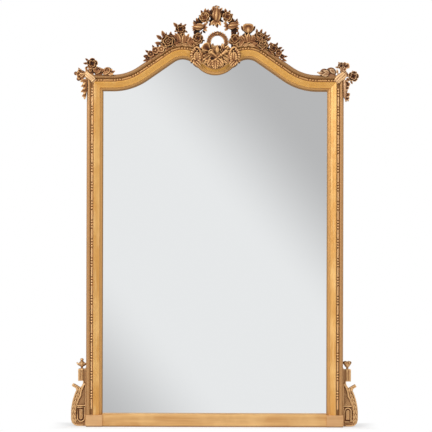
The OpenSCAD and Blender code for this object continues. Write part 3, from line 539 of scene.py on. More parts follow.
def join(pieces):
    """Makes pieces one mesh with its faces outward."""
    put_down()
    for piece in pieces:
        piece.select_set(True)
    bpy.context.view_layer.objects.active = pieces[0]
    bpy.ops.object.transform_apply()
    if len(pieces) > 1:
        bpy.ops.object.join()
    in_edit("SELECT")
    return take_out()


MODELS = {}


def keep(name, piece):
    """Puts a finished shape on the bench as a model to copy."""
    piece.name = "model_" + name
    for collection in list(piece.users_collection):
        collection.objects.unlink(piece)
    MODELS[name] = piece


def spin(turn, axis):
    return Matrix.Rotation(math.radians(turn), 4, axis)


def put(name, x, y, out=0.0, turn=0.0, size=1.0, lift=0.0, roll=0.0, flip=False):
    """A copy of a model: sized, rolled about its length, its tip lifted, then turned and placed."""
    piece = MODELS[name].copy()
    piece.data = piece.data.copy()
    bpy.context.collection.objects.link(piece)
    piece.matrix_world = (Matrix.Translation((x, y, out)) @ spin(turn, "Z") @ spin(-lift, "Y")
                          @ spin(roll, "X") @ Matrix.Diagonal((size, -size if flip else size, size, 1)))
    return piece


def toward(side, turn):
    """A turn as it is on the right, where side is 1, or its mirror image on the left, -1."""
    return turn if side > 0 else 180 - turn


def spray(ground, places, side=1):
    """Copies of models, as (model, x, y, height above the ground, turn, size, lift, roll)."""
    return [put(model, side * x, y, ground + up, toward(side, turn), *rest)
            for model, x, y, up, turn, *rest in places]


def ringed(model, count, reach=0.0, out=0.0, size=1.0, lift=0.0, roll=0.0, start=0.0):
    """Copies of a model set round a middle."""
    made = []
    for k in range(count):
        turn = start + 360 * k / count
        a = math.radians(turn)
        made.append(put(model, reach * math.cos(a), reach * math.sin(a), out, turn, size, lift, roll))
    return made


def make_models():
    """The carver's stock of petals, leaves, flowers and knops. A flower is about 50 mm across."""
    keep("petal", blade([(1, 4, 0, 0.5, 1), (7, 8.5, 0.6, 1.8, 4.2), (14, 12.4, 1.8, 3.4, 7.6),
                         (20, 12.6, 4.2, 6.0, 9.4), (24, 8.6, 7, 8.4, 8.0), (26, 3, 6.4, 6.4, 5.2)], 3.4))
    # rose leaf: a deep midrib, saw-toothed sides, and a tip that curls up
    keep("leaf", blade([(0, 2.4, 2.5, 2.6, 1.5), (5, 8.0, 2.4, 5.0, 1.6), (9, 7.6, 2.8, 6.4, 2.8),
                        (14, 12.4, 3.0, 7.0, 2.0), (18, 10.2, 3.4, 8.0, 3.6), (23, 12.4, 3.6, 7.8, 2.6),
                        (27, 9.0, 4.0, 8.2, 4.0), (32, 8.8, 4.2, 7.2, 3.0), (37, 4.4, 5.0, 6.8, 4.4),
                        (42, 0.8, 6.4, 6.4, 5.8)], 5.0))
    # long leaf with a sharp crest along its middle
    keep("sliver", blade([(0, 2.4, 2.4, 2, 0.6), (8, 5.6, 5.4, 4, 1), (18, 6.2, 7.0, 4.8, 1.2),
                          (28, 4.2, 6.2, 4.2, 1.6), (37, 0.8, 4.4, 3.4, 2.6)], 4.0))
    keep("lobe", blade([(0, 3, 3, 3.4, 1.4), (5, 6.4, 5.4, 5.4, 1.4), (11, 7.4, 7.0, 6.4, 1.6),
                        (16, 5.6, 6.6, 5.6, 1.8), (20, 1, 3.6, 3.4, 1.8)], 4.4))
    # long outer petal that wraps a half-open bud: ridged down its middle, its tip flaring out
    keep("wrap", blade([(-20, 2.2, 6, 4.6, 2), (-15, 7.4, 14.6, 11, 5), (-7, 10.8, 20.4, 15.4, 6.6),
                        (2, 11.6, 22, 16.4, 6.8), (11, 10, 18.8, 14, 6.4), (18, 6.8, 14, 11.4, 7),
                        (24, 4.4, 13.2, 12, 10), (29, 1, 16.4, 15.4, 14.4)], 5.0))
    keep("dome", turned([(0, 5), (1.6, 4.9), (3.2, 4.1), (4.4, 2.7), (5, 0.8)]))
    keep("knop", turned([(0, 2.5), (3, 5.5), (8, 8.5), (14, 9.5), (20, 8.4), (26, 5.6), (30, 3.2),
                         (33, 2.6), (35, 0.6)], 14))
    keep("mound", blob(20, 20, 3.4))
    # acanthus: a ribbed blade with four lapping lobes down each side
    stock = [put("sliver", 4, 0, 3, size=1.2, lift=5), put("leaf", 2, 0, 0.6, size=0.96, lift=5)]
    for along, size, turn in ((1, 1.15, 52), (9, 1.2, 44), (18, 1.1, 37), (27, 0.85, 30)):
        for side in (1, -1):
            stock.append(put("lobe", along, side * 2, 0.4 + 0.06 * along, side * turn, size, 9))
    keep("acanthus", join(stock))
    # rose: three rings of cupped petals that lap one another, round a tight heart
    stock = [put("mound", 0, 0, 2, size=2.0)]
    stock += ringed("petal", 5, 0, 1, 0.98, 4, 12)
    stock += ringed("petal", 5, 1, 6, 0.76, 22, 14, 33)
    stock += ringed("petal", 4, 1, 10, 0.52, 44, 14, 10)
    stock.append(put("dome", 0, 0, 12, 0, 1.15, 90))
    keep("rose", join(stock))
    # open flower: two rings of lapping petals round a small button
    stock = [put("mound", 0, 0, 1, size=1.9)]
    stock += ringed("petal", 5, 1.5, 1, 0.9, 6, 9)
    stock += ringed("petal", 4, 2, 6, 0.62, 26, 9, 20)
    stock.append(put("dome", 0, 0, 3.4, 0, 0.8, 90))
    keep("blossom", join(stock))
    # small flower, 30 mm across: five stout petals round a button
    keep("stout", blade([(1, 3, 2, 2.4, 2), (5, 6.2, 2.2, 3.6, 4.6), (10, 7.6, 3.4, 4.6, 6.2),
                         (14, 5.6, 5.4, 6.4, 6.0), (16, 2, 5.6, 5.6, 4.8)], 4.4))
    stock = [put("mound", 0, 0, 1, size=0.9)] + ringed("stout", 5, 0, 1, 1.0, 6)
    stock.append(put("dome", 0, 0, 3, 0, 0.9, 90))
    keep("posy", join(stock))
    # half-open rose seen from its side: ridged petals wrap a swelling body, with leafy sepals round them
    stock = [put("mound", 0, 0, 2, size=1.6)]
    for roll, along, size in ((-98, 0, 0.86), (96, -2, 0.88), (-50, 3, 0.92), (44, -3, 0.96),
                              (-4, 1, 1.06)):
        stock.append(put("wrap", along, 0, 2, size=size, roll=roll))
    for along, reach, turn, size in ((-12, 3, 176, 0.55), (-12, 3, 146, 0.62), (-12, 3, 214, 0.62),
                                     (12, 0, 36, 0.5), (12, 0, -36, 0.5)):
        a, spread = math.radians(turn), 7 if along < 0 else 11
        stock.append(put("leaf", along + reach * math.cos(a), spread * math.sin(a), 3, turn, size, 12))
    keep("bloom", join(stock))


def rail_place(s, t):
    """Place and tilt, in degrees, at a distance t from the cartouche along a line s outside the glass."""
    crown_r, hollow_r = HUMP_R + s, SHOULDER_R - s
    hump = crown_r * (INNER_TILT + OUTER_TILT)
    slope = math.sqrt((SHOULDER_X - HUMP_X) ** 2 + (SHOULDER_CZ - HUMP_Z) ** 2 - (SHOULDER_R + HUMP_R) ** 2)
    hollow = hollow_r * OUTER_TILT
    if t < hump:
        a = -INNER_TILT + t / crown_r
        return HUMP_X + crown_r * math.sin(a), HUMP_Z + crown_r * math.cos(a), -math.degrees(a)
    if t < hump + slope:
        a, u = OUTER_TILT, t - hump
        return (HUMP_X + crown_r * math.sin(a) + u * math.cos(a),
                HUMP_Z + crown_r * math.cos(a) - u * math.sin(a), -math.degrees(a))
    if t < hump + slope + hollow:
        a = OUTER_TILT - (t - hump - slope) / hollow_r
        return SHOULDER_X - hollow_r * math.sin(a), SHOULDER_CZ - hollow_r * math.cos(a), -math.degrees(a)
    return SHOULDER_X + t - hump - slope - hollow, SHOULDER_Z + s, 0.0


PATCH = 11.0


def patch_height(place):
    """Mean height of the carving round each point, over a patch about three times PATCH wide."""
    spot = (place[:, :2] - place[:, :2].min(axis=0)) / PATCH + 1.5
    cell = spot.astype(int)
    shape = cell.max(axis=0) + 3
    index = cell[:, 0] * shape[1] + cell[:, 1]
    sums = []
    for weights in (place[:, 2], np.ones(len(place))):
        grid = np.bincount(index, weights, shape[0] * shape[1]).reshape(shape)
        for axis in (0, 1):
            grid = grid + np.roll(grid, 1, axis) + np.roll(grid, -1, axis)
        sums.append(grid)
    mean = sums[0] / np.maximum(sums[1], 1)
    corner = (spot - 0.5).astype(int)
    u, v = (spot - 0.5 - corner).T
    i, j = corner.T
    return ((1 - u) * ((1 - v) * mean[i, j] + v * mean[i, j + 1])
            + u * ((1 - v) * mean[i + 1, j] + v * mean[i + 1, j + 1]))


def mark_shade_and_wear(mesh):
    """Ranks the points from the deepest hollow, 0, to the most rubbed high point, 1, for the gilding's
    painted shade and highlight.
    """
    count = len(mesh.vertices)
    place, outward = np.empty(count * 3), np.empty(count * 3)
    mesh.vertices.foreach_get("co", place)
    mesh.vertices.foreach_get("normal", outward)
    place, outward = place.reshape(-1, 3), outward.reshape(-1, 3)
    ends = np.empty(len(mesh.edges) * 2, dtype=np.int64)
    mesh.edges.foreach_get("vertices", ends)
    a, b = ends.reshape(-1, 2).T
    near = np.maximum(np.bincount(a, minlength=count) + np.bincount(b, minlength=count), 1)
    smooth = place.copy()
    # a point ranks brighter the more it stands above its patch and the more it faces out from the wall, as
    # light falls on it: painted light
    score = np.clip((place[:, 2] - patch_height(place)) / 3.5, -2, 2) + 0.9 * outward[:, 2]
    # how much the relief over the carving counts, once that is smoothed so many times
    passes = {3: 0.6, 30: 1.0}
    for step in range(1, max(passes) + 1):
        sums = [np.bincount(a, smooth[b, k], count) + np.bincount(b, smooth[a, k], count) for k in range(3)]
        smooth = np.stack([total / near for total in sums], axis=1)
        if step in passes:
            relief = ((place - smooth) * outward).sum(axis=1)
            score += passes[step] * np.clip(relief / (relief.std() + 1e-9), -2, 2)
    rank = np.empty(count)
    rank[np.argsort(score)] = np.linspace(0, 1, count)
    layer = mesh.attributes.new("shade_and_wear", "FLOAT", "POINT")
    layer.data.foreach_set("value", rank.astype(np.float32))


def carve(name, nodes, pieces, finish, grain=1.3):
    """Cuts pieces as one carving, stands it up in its place and gives it its gilding.

    Its grain is the width, in millimetres, of the finest detail that is cut.
    """
    piece = join(pieces)
    change("REMESH", mode="VOXEL", voxel_size=grain, use_smooth_shade=True)
    change("SMOOTH", factor=0.5, iterations=2)
    mark_shade_and_wear(piece.data)
    piece.rotation_euler = (math.radians(90), 0, 0)
    piece.scale = (MM, MM, MM)
    bpy.ops.object.transform_apply()
    piece.name = name
    piece.data.name = name
    coat(piece.data, finish)
    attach(piece, "root")
    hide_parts(*nodes)


# ---- Garlands on the humps and slopes ----

GARLAND_H = CARVE_H - 6
# where the leaves of a garland's outer side start and how far they run, along the moulding
BED_START, BED_RUN = 42, 208
LEFT_GARLAND = [
    ("rose", -200, 1632, 0, 12, 1.24), ("leaf", -213, 1646, 2, 113, 0.92, 12),
    ("leaf", -224, 1640, 1, 144, 0.84, 8), ("leaf", -226, 1622, 1, 170, 0.8, 6),
    ("leaf", -192, 1650, 0, 82, 0.66, 10), ("leaf", -176, 1644, 0, 40, 0.6, 8),
    ("mound", -212, 1622, -4, 0, 2.4), ("sliver", -206, 1652, 1, 98, 0.66, 10),
    # the flower that stands clear of the hump, on a stem of long leaves
    ("mound", -146, 1684, -2, 0, 1.7), ("blossom", -147, 1684, 1, 40, 0.98),
    ("leaf", -157, 1690, 2, 134, 0.8, 10), ("leaf", -138, 1696, 1, 34, 0.5, 8),
    ("lobe", -160, 1678, 0, 190, 0.84, 6), ("leaf", -134, 1680, 0, -28, 0.5, 6),
    ("lobe", -146, 1698, 0, 88, 0.8, 8), ("mound", -150, 1646, -4, 0, 2.3),
    ("mound", -128, 1636, -5, 0, 2.2), ("mound", -146, 1664, -4, 0, 1.7),
    ("leaf", -150, 1624, 0, 102, 1.1, 8, -20), ("leaf", -134, 1620, 2, 88, 1.12, 6, 12),
    ("leaf", -116, 1617, 0, 74, 1.0, 6, 20), ("leaf", -166, 1632, -1, 116, 0.9, 8, -10),
    ("sliver", -142, 1640, 3, 97, 1.0, 4), ("leaf", -124, 1642, 4, 62, 0.7, 10),
    ("leaf", -158, 1650, 4, 128, 0.62, 10), ("leaf", -110, 1622, 0, 42, 0.6, 8),
    ("sliver", -122, 1630, 3, 80, 0.8, 4),
    # small flowers and buds down the slope
    ("posy", -229, 1601, 6, 20, 0.94), ("posy", -254, 1595, 5, 0, 1.05), ("posy", -274, 1580, 4, 40, 1.0),
    ("leaf", -258, 1602, 0, 122, 0.5, 10), ("leaf", -240, 1606, 0, 118, 0.5, 10),
    ("leaf", -280, 1584, -1, 146, 0.55, 8), ("leaf", -284, 1572, 0, 176, 0.5, 6),
    ("posy", -287, 1561, 0, 10, 0.75), ("leaf", -288, 1564, -1, 160, 0.5, 6),
    ("leaf", -288, 1556, 0, 200, 0.52, 6), ("leaf", -280, 1553, 1, 222, 0.55, 6),
    ("sliver", -262, 1572, 5, 216, 0.6, 4),
]
RIGHT_GARLAND = [
    # a round bud in a cupped calyx, on dark leaves
    ("mound", 139, 1686, -2, 0, 2.2), ("petal", 130, 1672, 4, 96, 1.5, 6, 30),
    ("petal", 147, 1672, 4, 84, 1.5, 6, -30), ("petal", 139, 1668, 8, 90, 1.6, 8),
    ("mound", 139, 1689, 13, 0, 2.0), ("knop", 139, 1670, 14, 90, 0.95, 0),
    ("leaf", 122, 1676, 0, 118, 0.7, 10), ("leaf", 155, 1676, 0, 60, 0.7, 10),
    ("lobe", 130, 1700, -2, 104, 0.6, 4), ("mound", 132, 1648, -4, 0, 2.4),
    ("mound", 120, 1634, -5, 0, 2.0), ("leaf", 128, 1628, -1, 122, 0.98, 8, -16),
    ("leaf", 140, 1626, 1, 92, 1.08, 8, 8), ("leaf", 114, 1620, -1, 104, 0.9, 8, -14),
    ("leaf", 152, 1634, -1, 66, 0.86, 8, 16), ("leaf", 108, 1624, 0, 146, 0.56, 8),
    ("sliver", 132, 1640, 3, 104, 0.9, 4),
    # leafy cluster, then a large open flower
    ("mound", 190, 1646, -3, 0, 2.8), ("blossom", 183, 1655, 2, 20, 0.86),
    ("blossom", 206, 1650, 0, -20, 0.72), ("leaf", 176, 1664, 0, 92, 0.62, 12),
    ("leaf", 190, 1666, 0, 70, 0.6, 10), ("leaf", 206, 1660, 0, 62, 0.52, 10),
    ("leaf", 216, 1652, 0, 34, 0.5, 8), ("leaf", 168, 1650, -1, 144, 0.5, 8),
    ("leaf", 166, 1634, 2, 112, 0.75, 10), ("rose", 200, 1620, 0, 30, 0.98),
    ("leaf", 218, 1634, 0, 48, 0.66, 10), ("leaf", 180, 1620, 3, 196, 0.6, 6),
    ("leaf", 224, 1620, 0, 10, 0.6, 8), ("leaf", 186, 1636, 8, 110, 0.6, 10),
    # small flowers down to the end
    ("blossom", 247, 1605, 5, 10, 0.82), ("leaf", 254, 1612, 0, 58, 0.55, 10),
    ("leaf", 262, 1600, 0, 24, 0.62, 8), ("lobe", 236, 1616, 0, 96, 0.84, 8),
    ("posy", 268, 1586, 4, 0, 1.0), ("leaf", 276, 1590, -1, 34, 0.5, 8), ("posy", 283, 1570, -1, 20, 0.78),
    ("leaf", 288, 1570, -1, 4, 0.48, 6), ("leaf", 284, 1560, 0, -28, 0.55, 6),
    ("leaf", 276, 1558, 0, -48, 0.5, 6), ("sliver", 232, 1594, 5, -46, 0.7, 4),
    ("sliver", 256, 1576, 4, -40, 0.6, 4),
]


def garland_bed(side):
    """Under-body of a garland: a tapering roll along the hump's outer edge, and leaves along the crown."""
    path, radii, leaves = [], [], []
    for k in range(15):
        x, y = rail_place(80 - 0.7 * k, 36 + 15 * k)[:2]
        path.append((side * x, y, CARVE_H - 9))
        radii.append(12.5 - 0.52 * k)
    body = rod(path, radii)
    for k in range(15):
        x, y, tilt = rail_place(62 + 2.5 * (k % 2), 38 + 14 * k)
        turn = toward(side, tilt + (14 if k % 2 else -12))
        leaves.append(put("leaf" if k % 3 else "sliver", side * x, y, CARVE_H - 2, turn,
                          0.72 - 0.016 * k, 3, flip=side < 0))
    return [body] + leaves


def bed_foliage(side, hand, low, high):
    """Leaves that fan out from the bed's outer side, but for a gap between two shares of its length."""
    pieces = []
    for k in range(22):
        share = k / 21
        if low < share < high:
            continue
        x, y, tilt = rail_place(75 + hand.uniform(-4, 3), BED_START + BED_RUN * share)
        turn = tilt + (126, 48, 88)[k % 3] + hand.uniform(-12, 12)
        size = (0.7 - 0.16 * share) * hand.uniform(0.88, 1.12)
        model, scale = (("leaf", 1.0), ("petal", 0.9), ("leaf", 1.0), ("lobe", 1.5))[k % 4]
        pieces.append(put(model, side * x, y, CARVE_H - 8 + hand.uniform(0, 5), toward(side, turn),
                          size * scale, hand.uniform(4, 16), hand.uniform(-14, 14)))
    return pieces


def carve_garlands(finish):
    for side, name, seed, gap, flowers in ((-1, "left", 11, (0.3, 0.62), LEFT_GARLAND),
                                           (1, "right", 23, (0.1, 0.24), RIGHT_GARLAND)):
        pieces = garland_bed(side) + bed_foliage(side, random.Random(seed), *gap)
        pieces += spray(GARLAND_H, flowers)
        carve(name + "_garland_carving", [name + "_garland"], pieces, finish)


# ---- Crest of flowers over the dip ----

CREST_H = BACK_T + 20.2
CREST_R, CREST_Z = 78, 1680
LEFT_CREST = [
    ("bloom", -69, 1695, 9, 178, 1.04), ("leaf", -84, 1708, 2, 118, 0.5, 8),
    ("lobe", -60, 1710, 2, 58, 0.84, 8), ("lobe", -84, 1682, 2, 236, 0.8, 6),
    ("leaf", -56, 1682, 2, -42, 0.5, 6), ("blossom", -74, 1646, 13, 15, 1.0),
    ("posy", -62, 1634, 6, 15, 0.78), ("leaf", -84, 1660, 3, 116, 0.5, 10),
    ("leaf", -64, 1660, 3, 70, 0.5, 10), ("lobe", -92, 1640, 1, 186, 0.6, 6),
    ("leaf", -72, 1630, 3, -96, 0.6, 8), ("leaf", -86, 1632, 2, 236, 0.5, 8),
    ("lobe", -54, 1640, 2, -24, 0.6, 6), ("mound", -46, 1736, 2, 0, 1.8),
    ("blossom", -46, 1735, 12, 50, 0.96), ("leaf", -52, 1746, 2, 116, 0.6, 10),
    ("leaf", -44, 1746, 4, 88, 0.74, 10), ("leaf", -36, 1744, 2, 64, 0.62, 10),
    ("lobe", -60, 1738, 1, 152, 0.72, 8), ("lobe", -40, 1722, 2, -58, 0.8, 6),
    ("lobe", -28, 1738, 2, 8, 0.8, 6),
]
RIGHT_CREST = [
    ("bloom", 71, 1700, 9, 8, 1.04), ("leaf", 84, 1712, 2, 64, 0.56, 8),
    ("lobe", 62, 1714, 2, 124, 0.88, 8), ("lobe", 86, 1686, 2, -52, 0.92, 6),
    ("leaf", 56, 1690, 2, 196, 0.5, 6), ("blossom", 83, 1642, 13, -15, 1.0),
    ("posy", 98, 1648, 1, 30, 0.72), ("leaf", 76, 1658, 3, 116, 0.5, 10),
    ("leaf", 92, 1656, 3, 66, 0.5, 10), ("lobe", 66, 1640, 2, 176, 0.6, 6),
    ("leaf", 80, 1628, 3, -84, 0.6, 8), ("leaf", 94, 1630, 2, -46, 0.5, 8),
    ("sliver", 72, 1634, 12, 36, 0.75, 6), ("mound", 50, 1738, 2, 0, 1.8),
    ("blossom", 51, 1737, 12, 20, 0.96), ("leaf", 45, 1748, 4, 98, 0.7, 10),
    ("leaf", 55, 1748, 2, 70, 0.56, 10), ("lobe", 62, 1740, 2, 40, 0.92, 10),
    ("lobe", 36, 1740, 2, 152, 0.68, 8), ("lobe", 46, 1722, 2, -116, 0.8, 6),
    ("lobe", 64, 1728, 1, -8, 0.68, 6),
]
TOP_CREST = [
    ("mound", 2, 1738, 2, 0, 2.6), ("bloom", 5, 1743, 10, 86, 1.26), ("dome", -6, 1776, 14, 96, 1.5),
    ("dome", 11, 1777, 14, 84, 1.5), ("dome", 3, 1781, 12, 90, 1.2), ("leaf", -20, 1740, 3, 158, 0.5, 8),
    ("leaf", 24, 1740, 3, 24, 0.5, 8), ("leaf", -14, 1728, 3, 212, 0.5, 8),
    ("leaf", 18, 1726, 3, -30, 0.5, 8), ("leaf", -8, 1723, 4, 230, 0.78, 4),
    ("leaf", 2, 1724, 6, -79, 0.86, 4), ("leaf", -4, 1722, 3, -104, 0.62, 4),
    ("leaf", 10, 1724, 3, -50, 0.5, 4),
]


def crest_leaves(side):
    """Leaves in pairs up one side of the crest's arch, on a row of mounds."""
    hand = random.Random(31 + side)
    column = []
    for k in range(9):
        a = math.radians(-30 + 13 * k)
        x, y = side * CREST_R * math.cos(a), CREST_Z + CREST_R * math.sin(a)
        if k < 2:
            x, y = side * (CREST_R + 2 * k), 1612 + 15 * k
        column.append(put("mound", x, y, CREST_H + 3, 0, 1.25 + 0.15 * (k % 2)))
        for swing in (-38, 34):
            turn = toward(side, math.degrees(a) + 90 + swing + hand.uniform(-10, 10))
            column.append(put("leaf", x, y, CREST_H + 1 + hand.uniform(-1, 3), turn,
                              0.62 * hand.uniform(0.85, 1.15), 10, hand.uniform(-16, 16)))
    return column


def carve_crest_flowers(finish):
    for (side, name), flowers in zip(SIDES, (LEFT_CREST, RIGHT_CREST)):
        pieces = crest_leaves(side) + spray(CREST_H, flowers)
        carve(name + "_crest_carving", [name + "_crest_flowers"], pieces, finish)
    carve("top_rose_carving", ["crest_top_rose"], spray(CREST_H, TOP_CREST), finish)


# ---- Cartouche: shield, scrolls and trophy ----

def carve_shield(finish):
    """Shield over the dip: a plate with a fan of round-ended ribs, a rolled rim and leaves at its foot."""
    low = arc(0, DIP_Z, DIP_R - DIP_BAND, -90, -90 + math.degrees(INNER_TILT), 8)
    x1, y1 = low[-1]
    right = low + [(57, y1 + (57 - x1) * math.tan(INNER_TILT)), (58, 1608), (50, 1612)]
    outline = right + [(-x, y) for x, y in reversed(right) if x > 0.01]
    rim = [(-x, y) for x, y in reversed(right[:-1])] + right[1:-1]
    parts = [board(outline, CARVE_H - 10, CARVE_H + 4),
             rod([(x * 0.965, y + 2, CARVE_H + 4) for x, y in rim], 3.8, 8)]
    for i in range(-5, 6):
        turn = -90 + 13.5 * i
        reach = min(72 + 2 * (i % 2), 54 / max(abs(math.cos(math.radians(turn))), 0.2))
        rib = [(12, 2.4), (reach * 0.6, 4.2), (reach - 6, 5.6), (reach, 3.4)]
        parts.append(turned(rib, 8, 0, 1592, CARVE_H + 4, turn))
    for side in (-1, 1):
        parts += spray(CARVE_H, [("acanthus", 12, 1556, 7, -58, 0.8, 6),
                                 ("leaf", 26, 1552, 7, -24, 0.66, 8),
                                 ("leaf", 40, 1588, 5, 20, 0.5, 6)], side)
    parts += spray(CARVE_H, [("acanthus", 0, 1556, 9, -90, 0.92, 4), ("leaf", -8, 1551, 11, 238, 0.5, 8),
                             ("leaf", 8, 1551, 11, -58, 0.5, 8), ("dome", 0, 1555, 12, 0, 1.2, 90)])
    carve("shield_carving", ["cartouche_shell"], parts, finish, 1.1)


EAR_BAND = [(90, 1605), (80, 1609), (70, 1604), (64, 1594), (61, 1581), (61, 1567), (65, 1554),
            (72, 1545), (81, 1540)]
EAR_RADII = [3.4, 4.8, 5.8, 6.4, 6.8, 6.8, 6.4, 5.4, 3.6]


def carve_ears(finish):
    """C-scrolls beside the shield: a smooth inner band that curls at both ends, and lobes outside it."""
    for side, name in SIDES:
        parts = spray(CARVE_H, [("mound", 84, 1576, 2, 90, 2.5), ("mound", 80, 1594, 2, 0, 1.9),
                                ("mound", 80, 1556, 2, 0, 1.8)], side)
        parts.append(rod([(side * x, y, CARVE_H + 8) for x, y in EAR_BAND], EAR_RADII))
        parts += spray(CARVE_H, [("dome", 90, 1598, 6, 0, 1.3, 90)], side)
        for k in range(7):
            turn = -58 + 21 * k
            a = math.radians(turn)
            x, y = 80 + 9 * math.cos(a), 1575 + 17 * math.sin(a)
            parts += spray(CARVE_H, [("lobe", x, y, 6, turn, 0.98 - 0.05 * abs(k - 3), 8)], side)
        for k in range(5):
            a = math.radians(-60 + 30 * k)
            x, y = 72 + 10 * math.cos(a), 1575 + 20 * math.sin(a)
            parts += spray(CARVE_H, [("dome", x, y, 9, 0, 0.7, 90)], side)
        parts += spray(CARVE_H, [
            ("acanthus", 77, 1552, 7, 90, 0.86, 8), ("leaf", 62, 1594, 7, 112, 0.5, 10),
            ("lobe", 52, 1574, 5, -62, 1.0, 6), ("lobe", 53, 1590, 5, -70, 0.9, 6),
            ("lobe", 50, 1556, 5, -48, 0.9, 6), ("leaf", 58, 1560, 6, 250, 0.5, 6),
            ("acanthus", 88, 1556, 5, 226, 0.86, 4), ("leaf", 86, 1602, 5, 68, 0.5, 8),
            ("lobe", 94, 1556, 4, -40, 0.84, 6),
        ], side)
        carve(name + "_ear_carving", [name + "_cartouche_scroll"], parts, finish, 1.1)


TROPHY_H = CARVE_H + 5.4
TORCH = [(-40, 3), (-30, 4.5), (-12, 5), (6, 5.6), (10, 8), (14, 6), (30, 8.4), (40, 9.4), (44, 6)]
QUIVER = [(-36, 2.4), (-28, 6), (-24, 4), (-6, 4.4), (12, 5), (24, 6.4), (34, 8.2), (38, 5)]
ARROW = [(-11, 1.6), (0, 2.6), (13, 1.6)]


def carve_trophy(finish):
    """Quiver and torch crossed under a knop, with a curl of ribbon and leaves."""
    t = TROPHY_H
    trophy = spray(t, [
        ("knop", 8, 1584, 9, 90, 1.0), ("petal", -24, 1594, 7, 138, 1.5, 6),
        ("leaf", -34, 1598, 3, 168, 0.6, 6), ("leaf", -18, 1604, 4, 104, 0.6, 8),
        ("mound", -34, 1606, 2, 0, 1.9), ("mound", 36, 1604, 2, 0, 1.8),
        ("leaf", 28, 1596, 5, 78, 0.72, 10), ("leaf", 36, 1594, 5, 46, 0.76, 10),
        ("leaf", 40, 1586, 4, 14, 0.62, 8), ("leaf", 22, 1600, 3, 112, 0.5, 8),
        ("posy", 30, 1596, 5, 20, 0.66),
    ])
    trophy += [turned(TORCH, 12, 16, 1569, t + 7, 37), turned(QUIVER, 12, 8, 1566, t + 7, 140)]
    # feathered shafts laid side by side below the quiver
    trophy += [turned(ARROW, 8, 34 + 4.2 * k, 1546 + 5.4 * k, t + 4, -35) for k in range(5)]
    curl = []
    for k in range(12):
        a, r = 0.6 * k, 9 - 0.2 * k
        curl.append((-19 + r * math.cos(a), 1589 + r * math.sin(a), t + 8))
    trophy.append(rod(curl, 3.2, 8))
    trophy += spray(t, [("petal", -6, 1566, 4, 214, 0.8, 8), ("dome", -20, 1548, 4, 0, 1.1, 90),
                        ("leaf", -28, 1578, 2, 200, 0.6, 6), ("leaf", -30, 1566, 1, 226, 0.55, 6),
                        ("dome", 10, 1545, 4, 0, 1.0, 90)])
    carve("trophy_carving", ["crest_trophy"], trophy, finish, 1.0)


RING_X, RING_Z, RING_R = 9, 1631, 36.5


def carve_ring(finish):
    """Pierced ring: a hoop dressed with two rows of small leaves that climb from its feet."""
    mid = (BACK_T + CARVE_H) / 2
    top = RING_Z + RING_R
    hoop = [rod([(x, y, mid) for x, y in arc(RING_X, RING_Z, RING_R, -22, 202, 24)], 7.4, 12)]
    for side in (-1, 1):
        for k in range(8):
            climb = -16 + 13.6 * k
            a = math.radians(climb)
            for row, swing in ((-4.2, 24), (4.2, -24)):
                x, y = RING_X + side * (RING_R + row) * math.cos(a), RING_Z + (RING_R + row) * math.sin(a)
                hoop.append(put("lobe", x, y, mid + 3.4, toward(side, climb + 90 + swing), 0.62, 6))
    hoop += spray(mid, [("dome", RING_X, top, 6, 0, 1.3, 90), ("dome", RING_X - 7, top - 1, 5, 0, 0.9, 90),
                        ("dome", RING_X + 7, top - 1, 5, 0, 0.9, 90)])
    for side in (-1, 1):
        hoop.append(put("lobe", RING_X + side * 22, 1612.5, mid - 3, 90 + side * 12, 0.8, 0))
    sill = [(-34, 1612), (34, 1612), (31, 1616), (16, 1617.6), (0, 1618), (-16, 1617.6), (-31, 1616)]
    hoop.append(board([(RING_X + x, y) for x, y in sill], BACK_T + 3, mid + 4))
    carve("ring_carving", ["crest_ring"], hoop, finish, 1.0)


# ---- Corners: a ribbon over each mitre, and a spray of flowers above it ----

